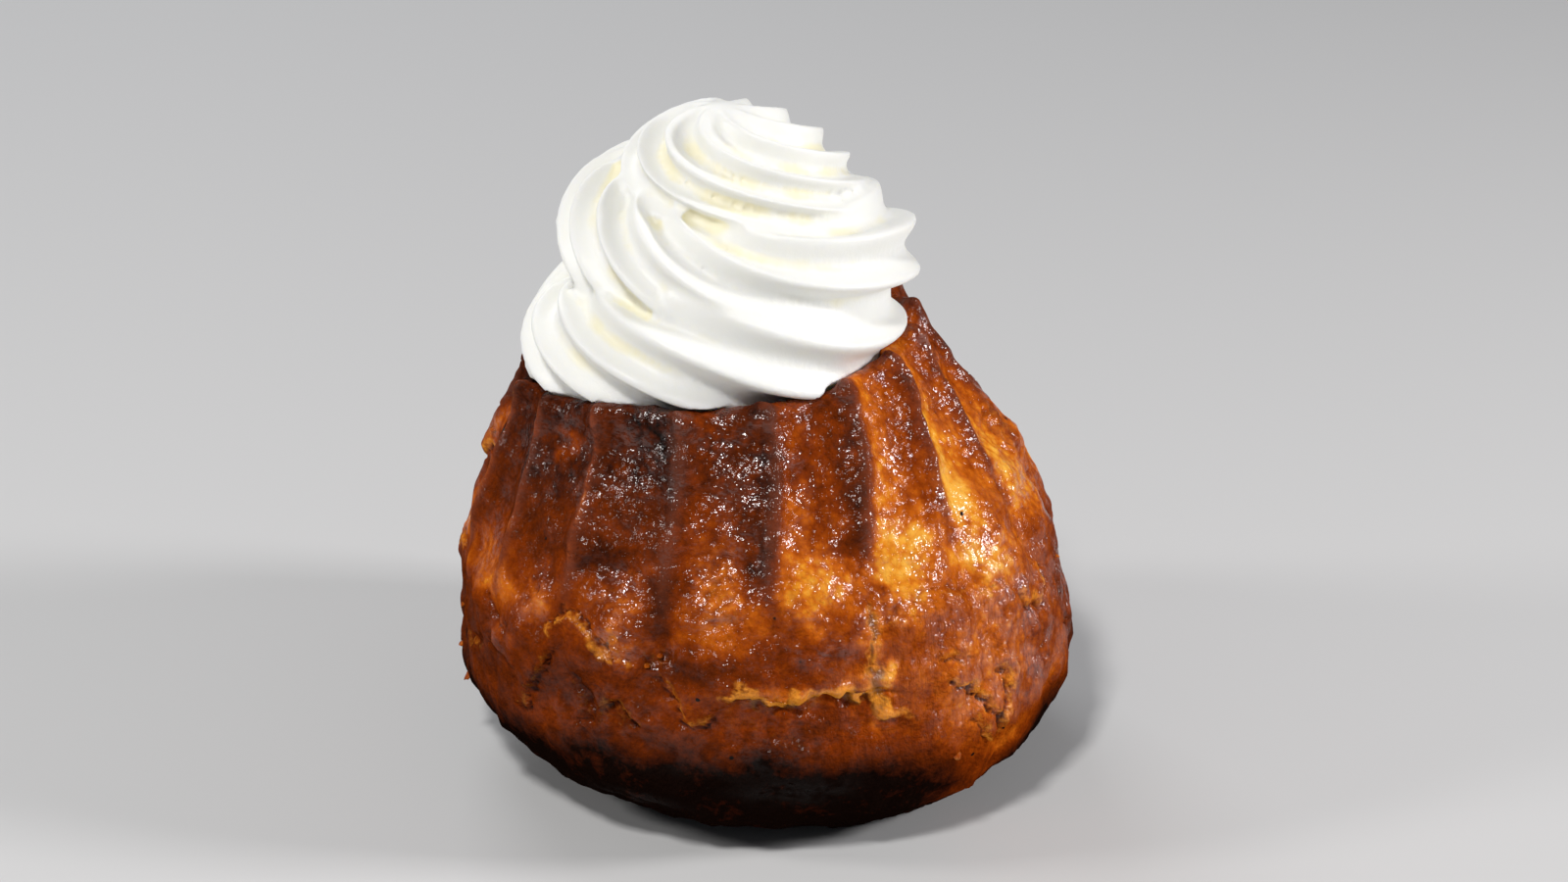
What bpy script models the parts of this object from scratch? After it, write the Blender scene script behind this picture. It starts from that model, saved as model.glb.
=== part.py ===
"""Rum baba: a small fluted yeast cake soaked in syrup, with a piped swirl of whipped cream on top.

The cake stands on its domed base and leans to -X. Its lower part has risen over the edge of the
tin as a smooth belly, its upper part carries the tin's flutes, and its top is a shallow dish
with a thin raised rim. The cream is one star-shaped rope, piped clockwise in a rising coil that
closes in a rounded peak.

Units are metres, +Z is up, the front faces -Y, and the origin is below the middle of the whole.
"""
import math

import bmesh
import bpy
from mathutils import Vector
from mathutils import noise

MM = 0.001
TURN = 360.0
GAP = 0.3 * MM                     # clearance between the cake and the cream on it
CUT_GAP = 1.1 * GAP                # what the cream is cut back by, as its faces are flat
CENTRE_X = 0.56 * MM               # the whole's middle, from which the origin is counted
CENTRE_Y = 0.105 * MM

# --- the cake's upright outline -----------------------------------------------------------------
FOOT_RADIUS = 19.0 * MM            # flat spot it stands on
BELLY_RADIUS = 37.3 * MM           # widest, where the dough rose over the tin
BELLY_HEIGHT = 17.0 * MM
SHOULDER_ARC = 40.4 * MM           # radius of the curve from the belly to the fluted cone
CONE_ANGLE = 27.8                  # degrees, the cone's wall from the upright
RIM_HEIGHT = 52.5 * MM
RIM_ROUND = 1.4 * MM               # half the rim's thickness
DISH_DEPTH = 2.6 * MM              # the top sinks this far inside the rim
DISH_FLAT = 0.86                   # share of the rim's inner radius that the dish's floor takes
BASE_SHIFT = 3.2 * MM              # the base's middle lies this far to +X
LEAN_SHIFT = 7.3 * MM              # the rim's middle lies this far to -X of the base's middle
LEAN_BOW = 1.2 * MM                # and this much more, as the lean grows with the height
RIM_TILT = 8.4                     # degrees, the rim's plane falls to -X
# shares of the outline at which its stretches end
BASE_END = 0.08
DOME_END = 0.30
SHOULDER_END = 0.56
CONE_END = 0.80
RIM_END = 0.88
SLOPE_END = 0.93

# --- the cake's relief --------------------------------------------------------------------------
FLUTES = 17
FLUTE_DEPTH = 1.7 * MM             # from a ridge's crest to the scoop beside it
RIDGE_SHARE = 0.45                 # share of it by which a ridge stands above the plain outline
FLUTE_END = 33.5 * MM              # the ridges run out at this height on average,
FLUTE_END_FALL = 2.6 * MM          # higher by this at +X and lower at -X
FLUTE_FADE = 6.0 * MM
FLUTE_SKEW = 13.0                  # degrees that the ridges bend towards +X, from end to rim
SKEW_MIDDLE = -50.0                # azimuth at which they bend most
FLARE = 1.1 * MM                   # how far the scoops' lower ends swell
FLARE_REACH = 8.0 * MM             # the swelling fades over this height above the ridges' ends
FLARE_LOW = 18.5 * MM              # and between these heights below them
FLARE_HIGH = 29.0 * MM
LIP_HEIGHT = 23.6 * MM             # burst edge of the upper crust, at the front
LIP_FALL = 8.0 * MM                # its slope towards +X, per radian of azimuth
LIP_WAVE = 0.9 * MM                # its edge is ragged by this much
LIP_WAVES = 9
LIP_MIDDLE = -79.0                 # azimuth of the burst's middle
LIP_SPREAD = 30.0                  # degrees to each side over which it fades
LIP_STEP = 1.0 * MM                # the belly is set back by this much below it
LIP_SOFT = 1.0 * MM                # half the height over which the step falls
LIP_FADE = 3.4 * MM                # and back out again over twice this height
WAVE_SIZE = 17.0 * MM              # uneven rising: size and height of the swellings
WAVE_HEIGHT = 0.7 * MM
CAKE_COLUMNS = 5 * FLUTES
CAKE_ROWS = 36

# local swellings: azimuth in degrees, height, half width, half height, rise
BUMPS = (
    (176.0, 9.5 * MM, 17.0 * MM, 6.5 * MM, 2.1 * MM),
    (-176.0, 27.0 * MM, 14.0 * MM, 5.0 * MM, -0.6 * MM),
    (160.0, 43.5 * MM, 6.0 * MM, 4.2 * MM, 2.2 * MM),
    (2.0, 36.5 * MM, 4.0 * MM, 2.6 * MM, 1.0 * MM),
    (-63.0, 29.0 * MM, 6.0 * MM, 3.5 * MM, 0.7 * MM),
    (-128.0, 27.5 * MM, 6.0 * MM, 3.5 * MM, 0.6 * MM),
    (98.0, 30.5 * MM, 7.0 * MM, 4.5 * MM, 0.9 * MM),
)
RIM_RIDGE = 0.7 * MM               # the ridges' ends stand above the rim by this much
# peaks of the thin rim: azimuth in degrees, half width in degrees, rise
RIM_PEAKS = (
    (158.0, 13.0, 3.0 * MM),
    (18.0, 34.0, 1.7 * MM),
    (88.0, 18.0, 1.0 * MM),
    (-128.0, 58.0, 1.8 * MM),
)

# --- the cream ----------------------------------------------------------------------------------
TEETH = 8                          # points of the star nozzle
TOOTH_DEPTH = 2.6 * MM
TOOTH_ROUND = 0.18                 # share of a half tooth that the crest's rounding takes
TOOTH_POWER = 1.8                  # how much wider the grooves are than the crests
FULL_TEETH = 6.0 * MM              # rope's radius below which the teeth get shallower
COIL_START = 60.0                  # azimuth of the rope's hidden start, in degrees
TWIST_RATE = 1.35                  # the star turns this much for one turn of the coil
TWIST_SWING = 51.5                 # degrees that it runs ahead and behind within a turn
TWIST_LAG = 70.0
TWIST_START = -9.0
ROPE_COLUMNS = 40
ROPE_ROWS = 168
# clockwise travel in degrees, coil's radius, height of the rope's middle, rope's radius, and how
# far the coil's centre lies to +X
COIL = (
    (-55.0, 13.0 * MM, 56.0 * MM, 5.5 * MM, -5.4 * MM),
    (0.0, 14.2 * MM, 57.2 * MM, 7.4 * MM, -5.4 * MM),
    (55.0, 14.8 * MM, 58.0 * MM, 7.7 * MM, -5.4 * MM),
    (100.0, 16.1 * MM, 57.2 * MM, 8.6 * MM, -5.4 * MM),
    (150.0, 15.4 * MM, 58.0 * MM, 9.2 * MM, -5.4 * MM),
    (200.0, 15.8 * MM, 56.0 * MM, 8.8 * MM, -5.4 * MM),
    (245.0, 15.3 * MM, 53.8 * MM, 8.2 * MM, -5.4 * MM),
    (330.0, 14.0 * MM, 60.5 * MM, 7.6 * MM, -5.0 * MM),
    (420.0, 15.2 * MM, 65.0 * MM, 8.2 * MM, -4.0 * MM),
    (510.0, 13.8 * MM, 65.5 * MM, 7.6 * MM, -3.5 * MM),
    (600.0, 13.0 * MM, 68.0 * MM, 8.0 * MM, -3.5 * MM),
    (690.0, 10.6 * MM, 69.0 * MM, 7.4 * MM, -3.3 * MM),
    (780.0, 8.2 * MM, 68.5 * MM, 6.0 * MM, -2.6 * MM),
)
START_ROUND = 30.0                 # degrees of travel over which the rope's start is rounded
END_ROUND = 60.0                   # and its end, which the last turn's swirl covers
# eggs that fill the coil's hollow: how far they lie to +X, middle's height, radius, half height
CORES = (
    (-5.4 * MM, 64.0 * MM, 15.0 * MM, 16.0 * MM),
    (3.0 * MM, 69.0 * MM, 11.0 * MM, 6.5 * MM),
)
CORE_COLUMNS = 24
CORE_ROWS = 12
# the last turn, whose ridges wind down from the tip
SWIRL_RADIUS = 15.3 * MM
SWIRL_MIDDLE = 71.0 * MM
SWIRL_UP = 11.9 * MM               # from its widest level to the tip
SWIRL_DOWN = 16.0 * MM             # and down to its hidden end
SWIRL_X = -1.7 * MM                # how far its widest level lies to +X
SWIRL_LEAN = -0.25                 # how far to +X it leans for each length of rise
SWIRL_DEPTH = 2.7 * MM
SWIRL_TURN = 170.0                 # degrees that a ridge winds from the tip to the widest level
SWIRL_CURL = 1.6                   # above 1 the ridges start straighter at the tip
SWIRL_FULL = 0.22                  # share of the way down at which the ridges have their depth
SWIRL_COLUMNS = 72
SWIRL_ROWS = 48
VOXEL = 0.6 * MM                   # the coil's turns are fused on a grid this fine
SMOOTHING = 4                      # times that the grid's steps are eased
CREAM_FACES = 5200


def smooth_step(low, high, value):
    """0 below low, 1 above high, and a smooth rise between them."""
    share = min(max((value - low) / (high - low), 0.0), 1.0)
    return share * share * (3.0 - 2.0 * share)


def mix(first, second, share):
    return first + (second - first) * share


def angle_between(first, second):
    """Shortest difference of two angles in degrees, without its sign."""
    return abs((first - second + 180.0) % TURN - 180.0)


def track(stations, place):
    """The stations' values at a place along them, on a smooth curve through them all."""
    last = len(stations) - 1
    if place <= stations[0][0]:
        return stations[0][1:]
    if place >= stations[last][0]:
        return stations[last][1:]
    index = max(i for i in range(last) if stations[i][0] <= place)
    start, end = stations[index], stations[index + 1]
    span = end[0] - start[0]
    share = (place - start[0]) / span

    def slope(i, column):
        low, high = stations[max(i - 1, 0)], stations[min(i + 1, last)]
        return (high[column] - low[column]) / (high[0] - low[0])

    values = []
    for column in range(1, len(start)):
        square, cube = share ** 2, share ** 3
        values.append(
            (2.0 * cube - 3.0 * square + 1.0) * start[column]
            + (cube - 2.0 * square + share) * span * slope(index, column)
            + (3.0 * square - 2.0 * cube) * end[column]
            + (cube - square) * span * slope(index + 1, column))
    return tuple(values)


# --- the cake -----------------------------------------------------------------------------------

def upright_outline(share):
    """Radius and height on the plain turned outline, from the base's middle to the top's."""
    cone = math.radians(CONE_ANGLE)
    arc_centre = BELLY_RADIUS - SHOULDER_ARC
    arc_radius = arc_centre + SHOULDER_ARC * math.cos(cone)
    arc_height = BELLY_HEIGHT + SHOULDER_ARC * math.sin(cone)
    rim_low = RIM_HEIGHT - RIM_ROUND
    rim_radius = arc_radius - (rim_low - arc_height) * math.tan(cone)
    inner_radius = rim_radius - 2.0 * RIM_ROUND
    floor_height = RIM_HEIGHT - DISH_DEPTH
    if share < BASE_END:
        return FOOT_RADIUS * share / BASE_END, 0.0
    if share < DOME_END:
        turn = 0.5 * math.pi * (share - BASE_END) / (DOME_END - BASE_END)
        bulge = BELLY_RADIUS - FOOT_RADIUS
        return FOOT_RADIUS + bulge * math.sin(turn), BELLY_HEIGHT * (1.0 - math.cos(turn))
    if share < SHOULDER_END:
        turn = cone * (share - DOME_END) / (SHOULDER_END - DOME_END)
        return arc_centre + SHOULDER_ARC * math.cos(turn), BELLY_HEIGHT + SHOULDER_ARC * math.sin(turn)
    if share < CONE_END:
        part = (share - SHOULDER_END) / (CONE_END - SHOULDER_END)
        return mix(arc_radius, rim_radius, part), mix(arc_height, rim_low, part)
    if share < RIM_END:
        turn = math.pi * (share - CONE_END) / (RIM_END - CONE_END)
        return rim_radius - RIM_ROUND * (1.0 - math.cos(turn)), rim_low + RIM_ROUND * math.sin(turn)
    if share < SLOPE_END:
        part = (share - RIM_END) / (SLOPE_END - RIM_END)
        return inner_radius * mix(1.0, DISH_FLAT, part), mix(rim_low, floor_height, part)
    part = (share - SLOPE_END) / (1.0 - SLOPE_END)
    return inner_radius * DISH_FLAT * (1.0 - part), floor_height


def flute(azimuth):
    """0 on a ridge's crest and 1 in the middle of the scoop between two ridges."""
    place = azimuth * FLUTES / TURN
    from_crest = abs(place - round(place)) * 2.0
    return 1.0 - (1.0 - from_crest) ** 2


def flute_skew(azimuth, height):
    """Degrees by which the ridges stand aside of their lower ends."""
    share = smooth_step(FLUTE_END, RIM_HEIGHT, height)
    near = 0.5 + 0.5 * math.cos(math.radians(azimuth - SKEW_MIDDLE))
    return FLUTE_SKEW * share * near ** 3


def wall_relief(azimuth, height):
    """How far the cake's outer wall stands out from the plain outline."""
    turn = math.radians(azimuth)
    end = FLUTE_END + FLUTE_END_FALL * math.cos(turn)
    fluted = smooth_step(end - 0.5 * FLUTE_FADE, end + FLUTE_FADE, height)
    scoop = flute(azimuth)
    relief = fluted * FLUTE_DEPTH * (RIDGE_SHARE - scoop)
    relief += FLARE * scoop * smooth_step(end + FLARE_REACH, end, height) * smooth_step(
        FLARE_LOW, FLARE_HIGH, height)
    lip = LIP_HEIGHT - LIP_FALL * math.sin(math.radians(azimuth - LIP_MIDDLE))
    lip += LIP_WAVE * math.sin(LIP_WAVES * turn)
    burst = smooth_step(LIP_SPREAD, 0.4 * LIP_SPREAD, angle_between(azimuth, LIP_MIDDLE))
    under = smooth_step(lip + LIP_SOFT, lip - LIP_SOFT, height)
    relief -= LIP_STEP * burst * under * smooth_step(lip - 3.0 * LIP_FADE, lip - LIP_FADE, height)
    for bump_azimuth, bump_height, half_width, half_height, rise in BUMPS:
        across = math.radians(angle_between(azimuth, bump_azimuth)) * BELLY_RADIUS / half_width
        along = (height - bump_height) / half_height
        relief += rise * math.exp(-(across ** 2 + along ** 2))
    return relief


def rim_rise(azimuth):
    """How far the thin rim stands above its plain height."""
    rise = RIM_RIDGE * (1.0 - flute(azimuth))
    for peak, half_width, height in RIM_PEAKS:
        rise += height * smooth_step(half_width, 0.0, angle_between(azimuth, peak))
    return rise


def lean(radius, azimuth, height):
    """Place of a point of the upright cake on the leaning one."""
    share = height / RIM_HEIGHT
    tilt = math.radians(RIM_TILT) * share
    turn = math.radians(azimuth)
    across = radius * math.cos(turn)
    middle = BASE_SHIFT - LEAN_SHIFT * share - LEAN_BOW * share ** 2
    return Vector((
        middle + across * math.cos(tilt) - CENTRE_X,
        radius * math.sin(turn) - CENTRE_Y,
        height + across * math.sin(tilt)))


def cake_point(azimuth, share):
    """A point of the cake's surface, share running from the base's middle to the top's."""
    radius, height = upright_outline(share)
    on_wall = smooth_step(BASE_END, DOME_END, share) * smooth_step(RIM_END, CONE_END + 0.06, share)
    on_rim = smooth_step(CONE_END - 0.02, CONE_END + 0.03, share) * smooth_step(
        RIM_END + 0.02, RIM_END - 0.03, share)
    around = Vector((math.cos(math.radians(azimuth)), math.sin(math.radians(azimuth)), 0.0))
    swelling = noise.noise((around * radius + Vector((0.0, 0.0, height))) / WAVE_SIZE)
    relief = on_wall * (wall_relief(azimuth, height) + WAVE_HEIGHT * swelling)
    skew = flute_skew(azimuth, height)
    return lean(radius + relief, azimuth + skew, height + on_rim * rim_rise(azimuth))


def stretched_ball(name, columns, rows, place):
    """A ball whose rows and columns are moved to where place(azimuth, share) puts them."""
    mesh = bmesh.new()
    bmesh.ops.create_uvsphere(mesh, u_segments=columns, v_segments=rows, radius=1.0)
    for vertex in mesh.verts:
        azimuth = math.degrees(math.atan2(vertex.co.y, vertex.co.x))
        column = round(azimuth * columns / TURN)
        row = round(math.acos(max(-1.0, min(1.0, -vertex.co.z))) * rows / math.pi)
        vertex.co = place(column * TURN / columns, row / rows)
    bmesh.ops.recalc_face_normals(mesh, faces=mesh.faces[:])
    bmesh.ops.triangulate(mesh, faces=mesh.faces[:])
    data = bpy.data.meshes.new(name)
    mesh.to_mesh(data)
    mesh.free()
    data.shade_smooth()
    shape = bpy.data.objects.new(name, data)
    bpy.context.scene.collection.objects.link(shape)
    return shape


def make_cake():
    return stretched_ball("cake", CAKE_COLUMNS, CAKE_ROWS, cake_point)


def make_cake_clearance(cake):
    """The cake grown by the gap on every side, which the cream is cut by."""
    cutter = cake.copy()
    cutter.name = "cake_clearance"
    cutter.data = cake.data.copy()
    bpy.context.scene.collection.objects.link(cutter)
    for vertex in cutter.data.vertices:
        vertex.co += vertex.normal * CUT_GAP
    cutter.hide_render = True
    cutter.display_type = 'WIRE'
    return cutter


# --- the cream ----------------------------------------------------------------------------------

def coil_place(travel):
    """Middle of the rope and its radius, after a clockwise travel in degrees."""
    coil_radius, height, rope_radius, centre = track(COIL, travel)
    azimuth = math.radians(COIL_START - travel)
    middle = Vector((
        centre + coil_radius * math.cos(azimuth) - CENTRE_X,
        coil_radius * math.sin(azimuth) - CENTRE_Y,
        height))
    return middle, rope_radius


def star(angle, twist):
    """0 on the crest of a tooth and 1 in the middle of the groove beside it."""
    place = (angle - twist) * TEETH / TURN
    from_crest = abs(place - round(place)) * 2.0
    blunt = math.sqrt(from_crest ** 2 + TOOTH_ROUND ** 2) - TOOTH_ROUND
    blunt /= math.sqrt(1.0 + TOOTH_ROUND ** 2) - TOOTH_ROUND
    return 1.0 - (1.0 - min(blunt, 1.0)) ** TOOTH_POWER


def round_end(distance, length):
    """Share of the full thickness near a rounded end, from 0 at the end to 1 at the length."""
    inward = min(max(distance / length, 0.0), 1.0)
    return math.sqrt(1.0 - (1.0 - inward) ** 2)


def rope_point(angle, share):
    """A point of the rope's skin; share runs from its start to its end."""
    start, end = COIL[0][0], COIL[-1][0]
    travel = mix(start, end, share)
    middle, rope_radius = coil_place(travel)
    along = (coil_place(travel + 1.0)[0] - coil_place(travel - 1.0)[0])
    if along.length < 1e-7:
        along = Vector((0.0, 0.0, 1.0))
    along.normalize()
    azimuth = math.radians(COIL_START - travel)
    outward = Vector((math.cos(azimuth), math.sin(azimuth), 0.0))
    outward = (outward - along * outward.dot(along)).normalized()
    upward = along.cross(outward)
    closing = round_end(end - travel, END_ROUND)
    opening = round_end(travel - start, START_ROUND)
    twist = TWIST_RATE * travel - TWIST_SWING * math.sin(math.radians(travel - TWIST_LAG)) + TWIST_START
    reach = rope_radius - TOOTH_DEPTH * star(angle, twist) * min(1.0, rope_radius / FULL_TEETH)
    turn = math.radians(angle)
    return middle + (outward * math.cos(turn) + upward * math.sin(turn)) * reach * closing * opening


def make_rope():
    return stretched_ball("whipped_cream", ROPE_COLUMNS, ROPE_ROWS, rope_point)


def swirl_point(azimuth, share):
    """A point of the last turn; share runs from its hidden lower end to the tip."""
    turn = math.radians(azimuth)
    lift = math.pi * share
    fallen = 1.0 - share
    twist = SWIRL_TURN * (2.0 * fallen) ** SWIRL_CURL
    depth = SWIRL_DEPTH * smooth_step(0.0, SWIRL_FULL, fallen) * star(azimuth, twist)
    half = SWIRL_UP if share > 0.5 else SWIRL_DOWN
    across = (SWIRL_RADIUS - depth) * math.sin(lift)
    rise = -(half - depth) * math.cos(lift)
    return Vector((
        SWIRL_X + SWIRL_LEAN * rise + across * math.cos(turn) - CENTRE_X,
        across * math.sin(turn) - CENTRE_Y,
        SWIRL_MIDDLE + rise))


def make_swirl():
    return stretched_ball("swirl", SWIRL_COLUMNS, SWIRL_ROWS, swirl_point)


def make_core(side, middle, radius, half_height):
    """One of the upright eggs that fill the coil."""
    def core_point(azimuth, share):
        turn = math.radians(azimuth)
        lift = math.pi * share
        return Vector((
            side + radius * math.sin(lift) * math.cos(turn) - CENTRE_X,
            radius * math.sin(lift) * math.sin(turn) - CENTRE_Y,
            middle - half_height * math.cos(lift)))
    return stretched_ball("core", CORE_COLUMNS, CORE_ROWS, core_point)


def join(target, other):
    """Put another object's mesh into the target's."""
    mesh = bmesh.new()
    mesh.from_mesh(target.data)
    mesh.from_mesh(other.data)
    mesh.to_mesh(target.data)
    mesh.free()
    bpy.data.objects.remove(other, do_unlink=True)


def settle(shape):
    """Make the shape's modifiers part of its mesh."""
    graph = bpy.context.evaluated_depsgraph_get()
    data = bpy.data.meshes.new_from_object(shape.evaluated_get(graph))
    shape.modifiers.clear()
    shape.data = data


def keep_largest(shape):
    """Drop every loose scrap beside the largest connected piece."""
    mesh = bmesh.new()
    mesh.from_mesh(shape.data)
    waiting = set(mesh.verts)
    pieces = []
    while waiting:
        piece = set()
        edge_of_piece = [waiting.pop()]
        while edge_of_piece:
            vertex = edge_of_piece.pop()
            piece.add(vertex)
            for edge in vertex.link_edges:
                other = edge.other_vert(vertex)
                if other in waiting:
                    waiting.remove(other)
                    edge_of_piece.append(other)
        pieces.append(piece)
    pieces.sort(key=len)
    scraps = [vertex for piece in pieces[:-1] for vertex in piece]
    bmesh.ops.delete(mesh, geom=scraps, context='VERTS')
    bmesh.ops.triangulate(mesh, faces=mesh.faces[:])
    mesh.to_mesh(shape.data)
    mesh.free()


def make_cream(clearance):
    cream = make_rope()
    join(cream, make_swirl())
    for core in CORES:
        join(cream, make_core(*core))
    fuse = cream.modifiers.new("fuse", 'REMESH')
    fuse.mode = 'VOXEL'
    fuse.voxel_size = VOXEL
    settle(cream)
    ease = cream.modifiers.new("ease", 'SMOOTH')
    ease.iterations = SMOOTHING
    settle(cream)
    thin = cream.modifiers.new("thin", 'DECIMATE')
    thin.use_collapse_triangulate = True
    thin.ratio = CREAM_FACES / (2.0 * len(cream.data.polygons))
    settle(cream)
    cut = cream.modifiers.new("seat", 'BOOLEAN')
    cut.operation = 'DIFFERENCE'
    cut.object = clearance
    settle(cream)
    keep_largest(cream)
    cream.data.shade_smooth()
    return cream


# --- finishes -----------------------------------------------------------------------------------

def paint(shape, name, colour, roughness, coat):
    material = bpy.data.materials.new(name)
    material.use_nodes = True
    surface = material.node_tree.nodes["Principled BSDF"]
    surface.inputs["Base Color"].default_value = (*colour, 1.0)
    surface.inputs["Roughness"].default_value = roughness
    surface.inputs["Metallic"].default_value = 0.0
    surface.inputs["Coat Weight"].default_value = coat
    material.diffuse_color = (*colour, 1.0)
    shape.data.materials.clear()
    shape.data.materials.append(material)


def main():
    for old in list(bpy.data.objects):
        bpy.data.objects.remove(old, do_unlink=True)
    cake = make_cake()
    cream = make_cream(make_cake_clearance(cake))
    paint(cake, "soaked_crust", (0.36, 0.10, 0.02), 0.28, 0.6)
    paint(cream, "whipped_cream", (0.90, 0.87, 0.78), 0.55, 0.0)


main()
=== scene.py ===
"""The looks of a rum baba: a fluted yeast cake soaked in syrup, under a piped swirl of whipped cream.

The cake and the cream of the frame are replaced by finely modelled ones of the same form. The cake
gets its crust's puckers, tears, flakes and crumb, and the cream its star-shaped ridges.

Units are metres, +Z is up and the front faces -Y.
"""
import logging
import math
import random
from dataclasses import dataclass, field
from enum import Enum
from typing import Any

import bmesh
import bpy
import numpy as np
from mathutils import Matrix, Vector, noise


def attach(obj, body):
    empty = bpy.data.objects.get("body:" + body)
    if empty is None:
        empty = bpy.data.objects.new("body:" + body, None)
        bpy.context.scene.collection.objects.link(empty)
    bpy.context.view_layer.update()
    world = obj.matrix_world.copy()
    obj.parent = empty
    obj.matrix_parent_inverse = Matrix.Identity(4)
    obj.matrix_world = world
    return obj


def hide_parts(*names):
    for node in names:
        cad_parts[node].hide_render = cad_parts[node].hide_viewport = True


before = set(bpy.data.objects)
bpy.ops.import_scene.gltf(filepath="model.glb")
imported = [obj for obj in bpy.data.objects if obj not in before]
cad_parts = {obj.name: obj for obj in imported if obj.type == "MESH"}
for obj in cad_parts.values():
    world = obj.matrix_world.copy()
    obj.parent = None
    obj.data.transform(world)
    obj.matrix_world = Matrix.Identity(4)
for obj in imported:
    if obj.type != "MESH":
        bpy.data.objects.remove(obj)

LOG = logging.getLogger("rum_baba")
MM = 0.001
TURN = 360.0
CENTRE_X = 0.56 * MM
CENTRE_Y = 0.105 * MM
BODY = "root"
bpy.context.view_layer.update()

Array = np.ndarray
Pair = tuple[float, float]
Triple = tuple[float, float, float]
Colour = Triple
Stops = tuple[tuple[float, Colour], ...]
Table = tuple[tuple[float, ...], ...]


# --- small helpers ------------------------------------------------------------------------------

def smooth_step(low: Any, high: Any, value: Any) -> Array:
    """Share that rises smoothly from 0 at low to 1 at high; low may be above high for a fall."""
    share = np.clip((value - low) / (high - low), 0.0, 1.0)
    return share * share * (3.0 - 2.0 * share)


def mix(first: Any, second: Any, share: Any) -> Any:
    """Blend linearly from first to second."""
    return first + (second - first) * share


def wrap(angle: Any) -> Array:
    """The same angle from -180 to 180 degrees."""
    return (angle + 0.5 * TURN) % TURN - 0.5 * TURN


def angle_between(first: Any, second: Any) -> Array:
    """Shortest difference of two angles in degrees, without its sign."""
    return np.abs(wrap(first - second))


def facing(azimuth: Array, middle: float) -> Array:
    """1 where an azimuth is the middle one, falling to 0 on the opposite side."""
    return 0.5 + 0.5 * np.cos(np.radians(azimuth - middle))


def from_nearest(angle: Array, count: int) -> Array:
    """Distance from the nearest of evenly spaced angles, in shares of their spacing."""
    place = angle * count / TURN
    return np.abs(place - np.rint(place))


def bell(distance: Array, width: float) -> Array:
    """1 at no distance, falling smoothly to a third at the width and to nothing at twice it."""
    return np.exp(-(distance / width) ** 2)


def grain(points: Array, size: Any, seed: float) -> Array:
    """Smooth noise from about -1 to 1, in lumps of one size or of one for each axis."""
    scaled = points / size + np.array((seed, 2.3 * seed, -1.7 * seed))
    return np.array([noise.noise(place) for place in scaled.tolist()])


def cells(points: Array, size: Any, seed: float) -> Array:
    """Distance to the nearest of scattered cell centres, in shares of the cell's size."""
    scaled = points / size + np.array((seed, -seed, 1.3 * seed))
    return np.array([noise.voronoi(place)[0][0] for place in scaled.tolist()])


def jolts(points: Array, coarse: float, fine: float, seed: float, share: float = 0.6) -> Array:
    """Ragged noise from lumps of two sizes in millimetres, with a share of the finer ones."""
    return grain(points, coarse * MM, seed) + share * grain(points, fine * MM, seed + 1.0)


def track(stations: Table, place: float) -> Array:
    """Read a smooth curve that runs through stations.

    Args:
        stations: For each station its place, then its values.
        place: Where to read the curve.

    Returns:
        The values there.
    """
    table = np.array(stations)
    places, values = table[:, 0], table[:, 1:]
    place = min(max(place, places[0]), places[-1])
    index = min(int(np.searchsorted(places, place, side="right")) - 1, len(places) - 2)
    span = places[index + 1] - places[index]
    share = (place - places[index]) / span

    def slope(i: int) -> Array:
        """Mean slope at a station."""
        low, high = max(i - 1, 0), min(i + 1, len(places) - 1)
        return (values[high] - values[low]) / (places[high] - places[low])

    square, cube = share ** 2, share ** 3
    return ((2.0 * cube - 3.0 * square + 1.0) * values[index]
            + (cube - 2.0 * square + share) * span * slope(index)
            + (3.0 * square - 2.0 * cube) * values[index + 1]
            + (cube - square) * span * slope(index + 1))


def places_of(mesh: bmesh.types.BMesh) -> Array:
    """The place of each vertex of a mesh."""
    return np.array([vertex.co[:] for vertex in mesh.verts])


def normals_of(mesh: bmesh.types.BMesh) -> Array:
    """The outward normal of each vertex of a mesh."""
    mesh.normal_update()
    return np.array([vertex.normal[:] for vertex in mesh.verts])


def ball_grid(columns: int, rows: int) -> tuple[bmesh.types.BMesh, Array, Array]:
    """Make a ball, whose faces point outwards, and tell each vertex's column and row.

    Args:
        columns: Number of columns round it.
        rows: Number of rows from its lowest point to its highest.

    Returns:
        The mesh, and the column and the row of each vertex.
    """
    mesh = bmesh.new()
    bmesh.ops.create_uvsphere(mesh, u_segments=columns, v_segments=rows, radius=1.0)
    bmesh.ops.recalc_face_normals(mesh, faces=mesh.faces[:])
    places = places_of(mesh)
    column = np.rint(np.arctan2(places[:, 1], places[:, 0]) * columns / (2.0 * math.pi))
    row = np.rint(np.arccos(np.clip(-places[:, 2], -1.0, 1.0)) * rows / math.pi)
    return mesh, column, row


def put_vertices(mesh: bmesh.types.BMesh, places: Array) -> Array:
    """Move a mesh's vertices and tell their outward normals.

    Args:
        mesh: The mesh.
        places: New place of each vertex.

    Returns:
        The normal of each vertex.
    """
    for vertex, place in zip(mesh.verts, places):
        vertex.co = place
    return normals_of(mesh)


def soften(mesh: bmesh.types.BMesh, rounds: int) -> Array:
    """Move each vertex half-way to the middle of its neighbours, some rounds, and tell the places."""
    for _ in range(rounds):
        bmesh.ops.smooth_vert(
            mesh, verts=mesh.verts, factor=0.5, use_axis_x=True, use_axis_y=True, use_axis_z=True)
    return places_of(mesh)


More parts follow.
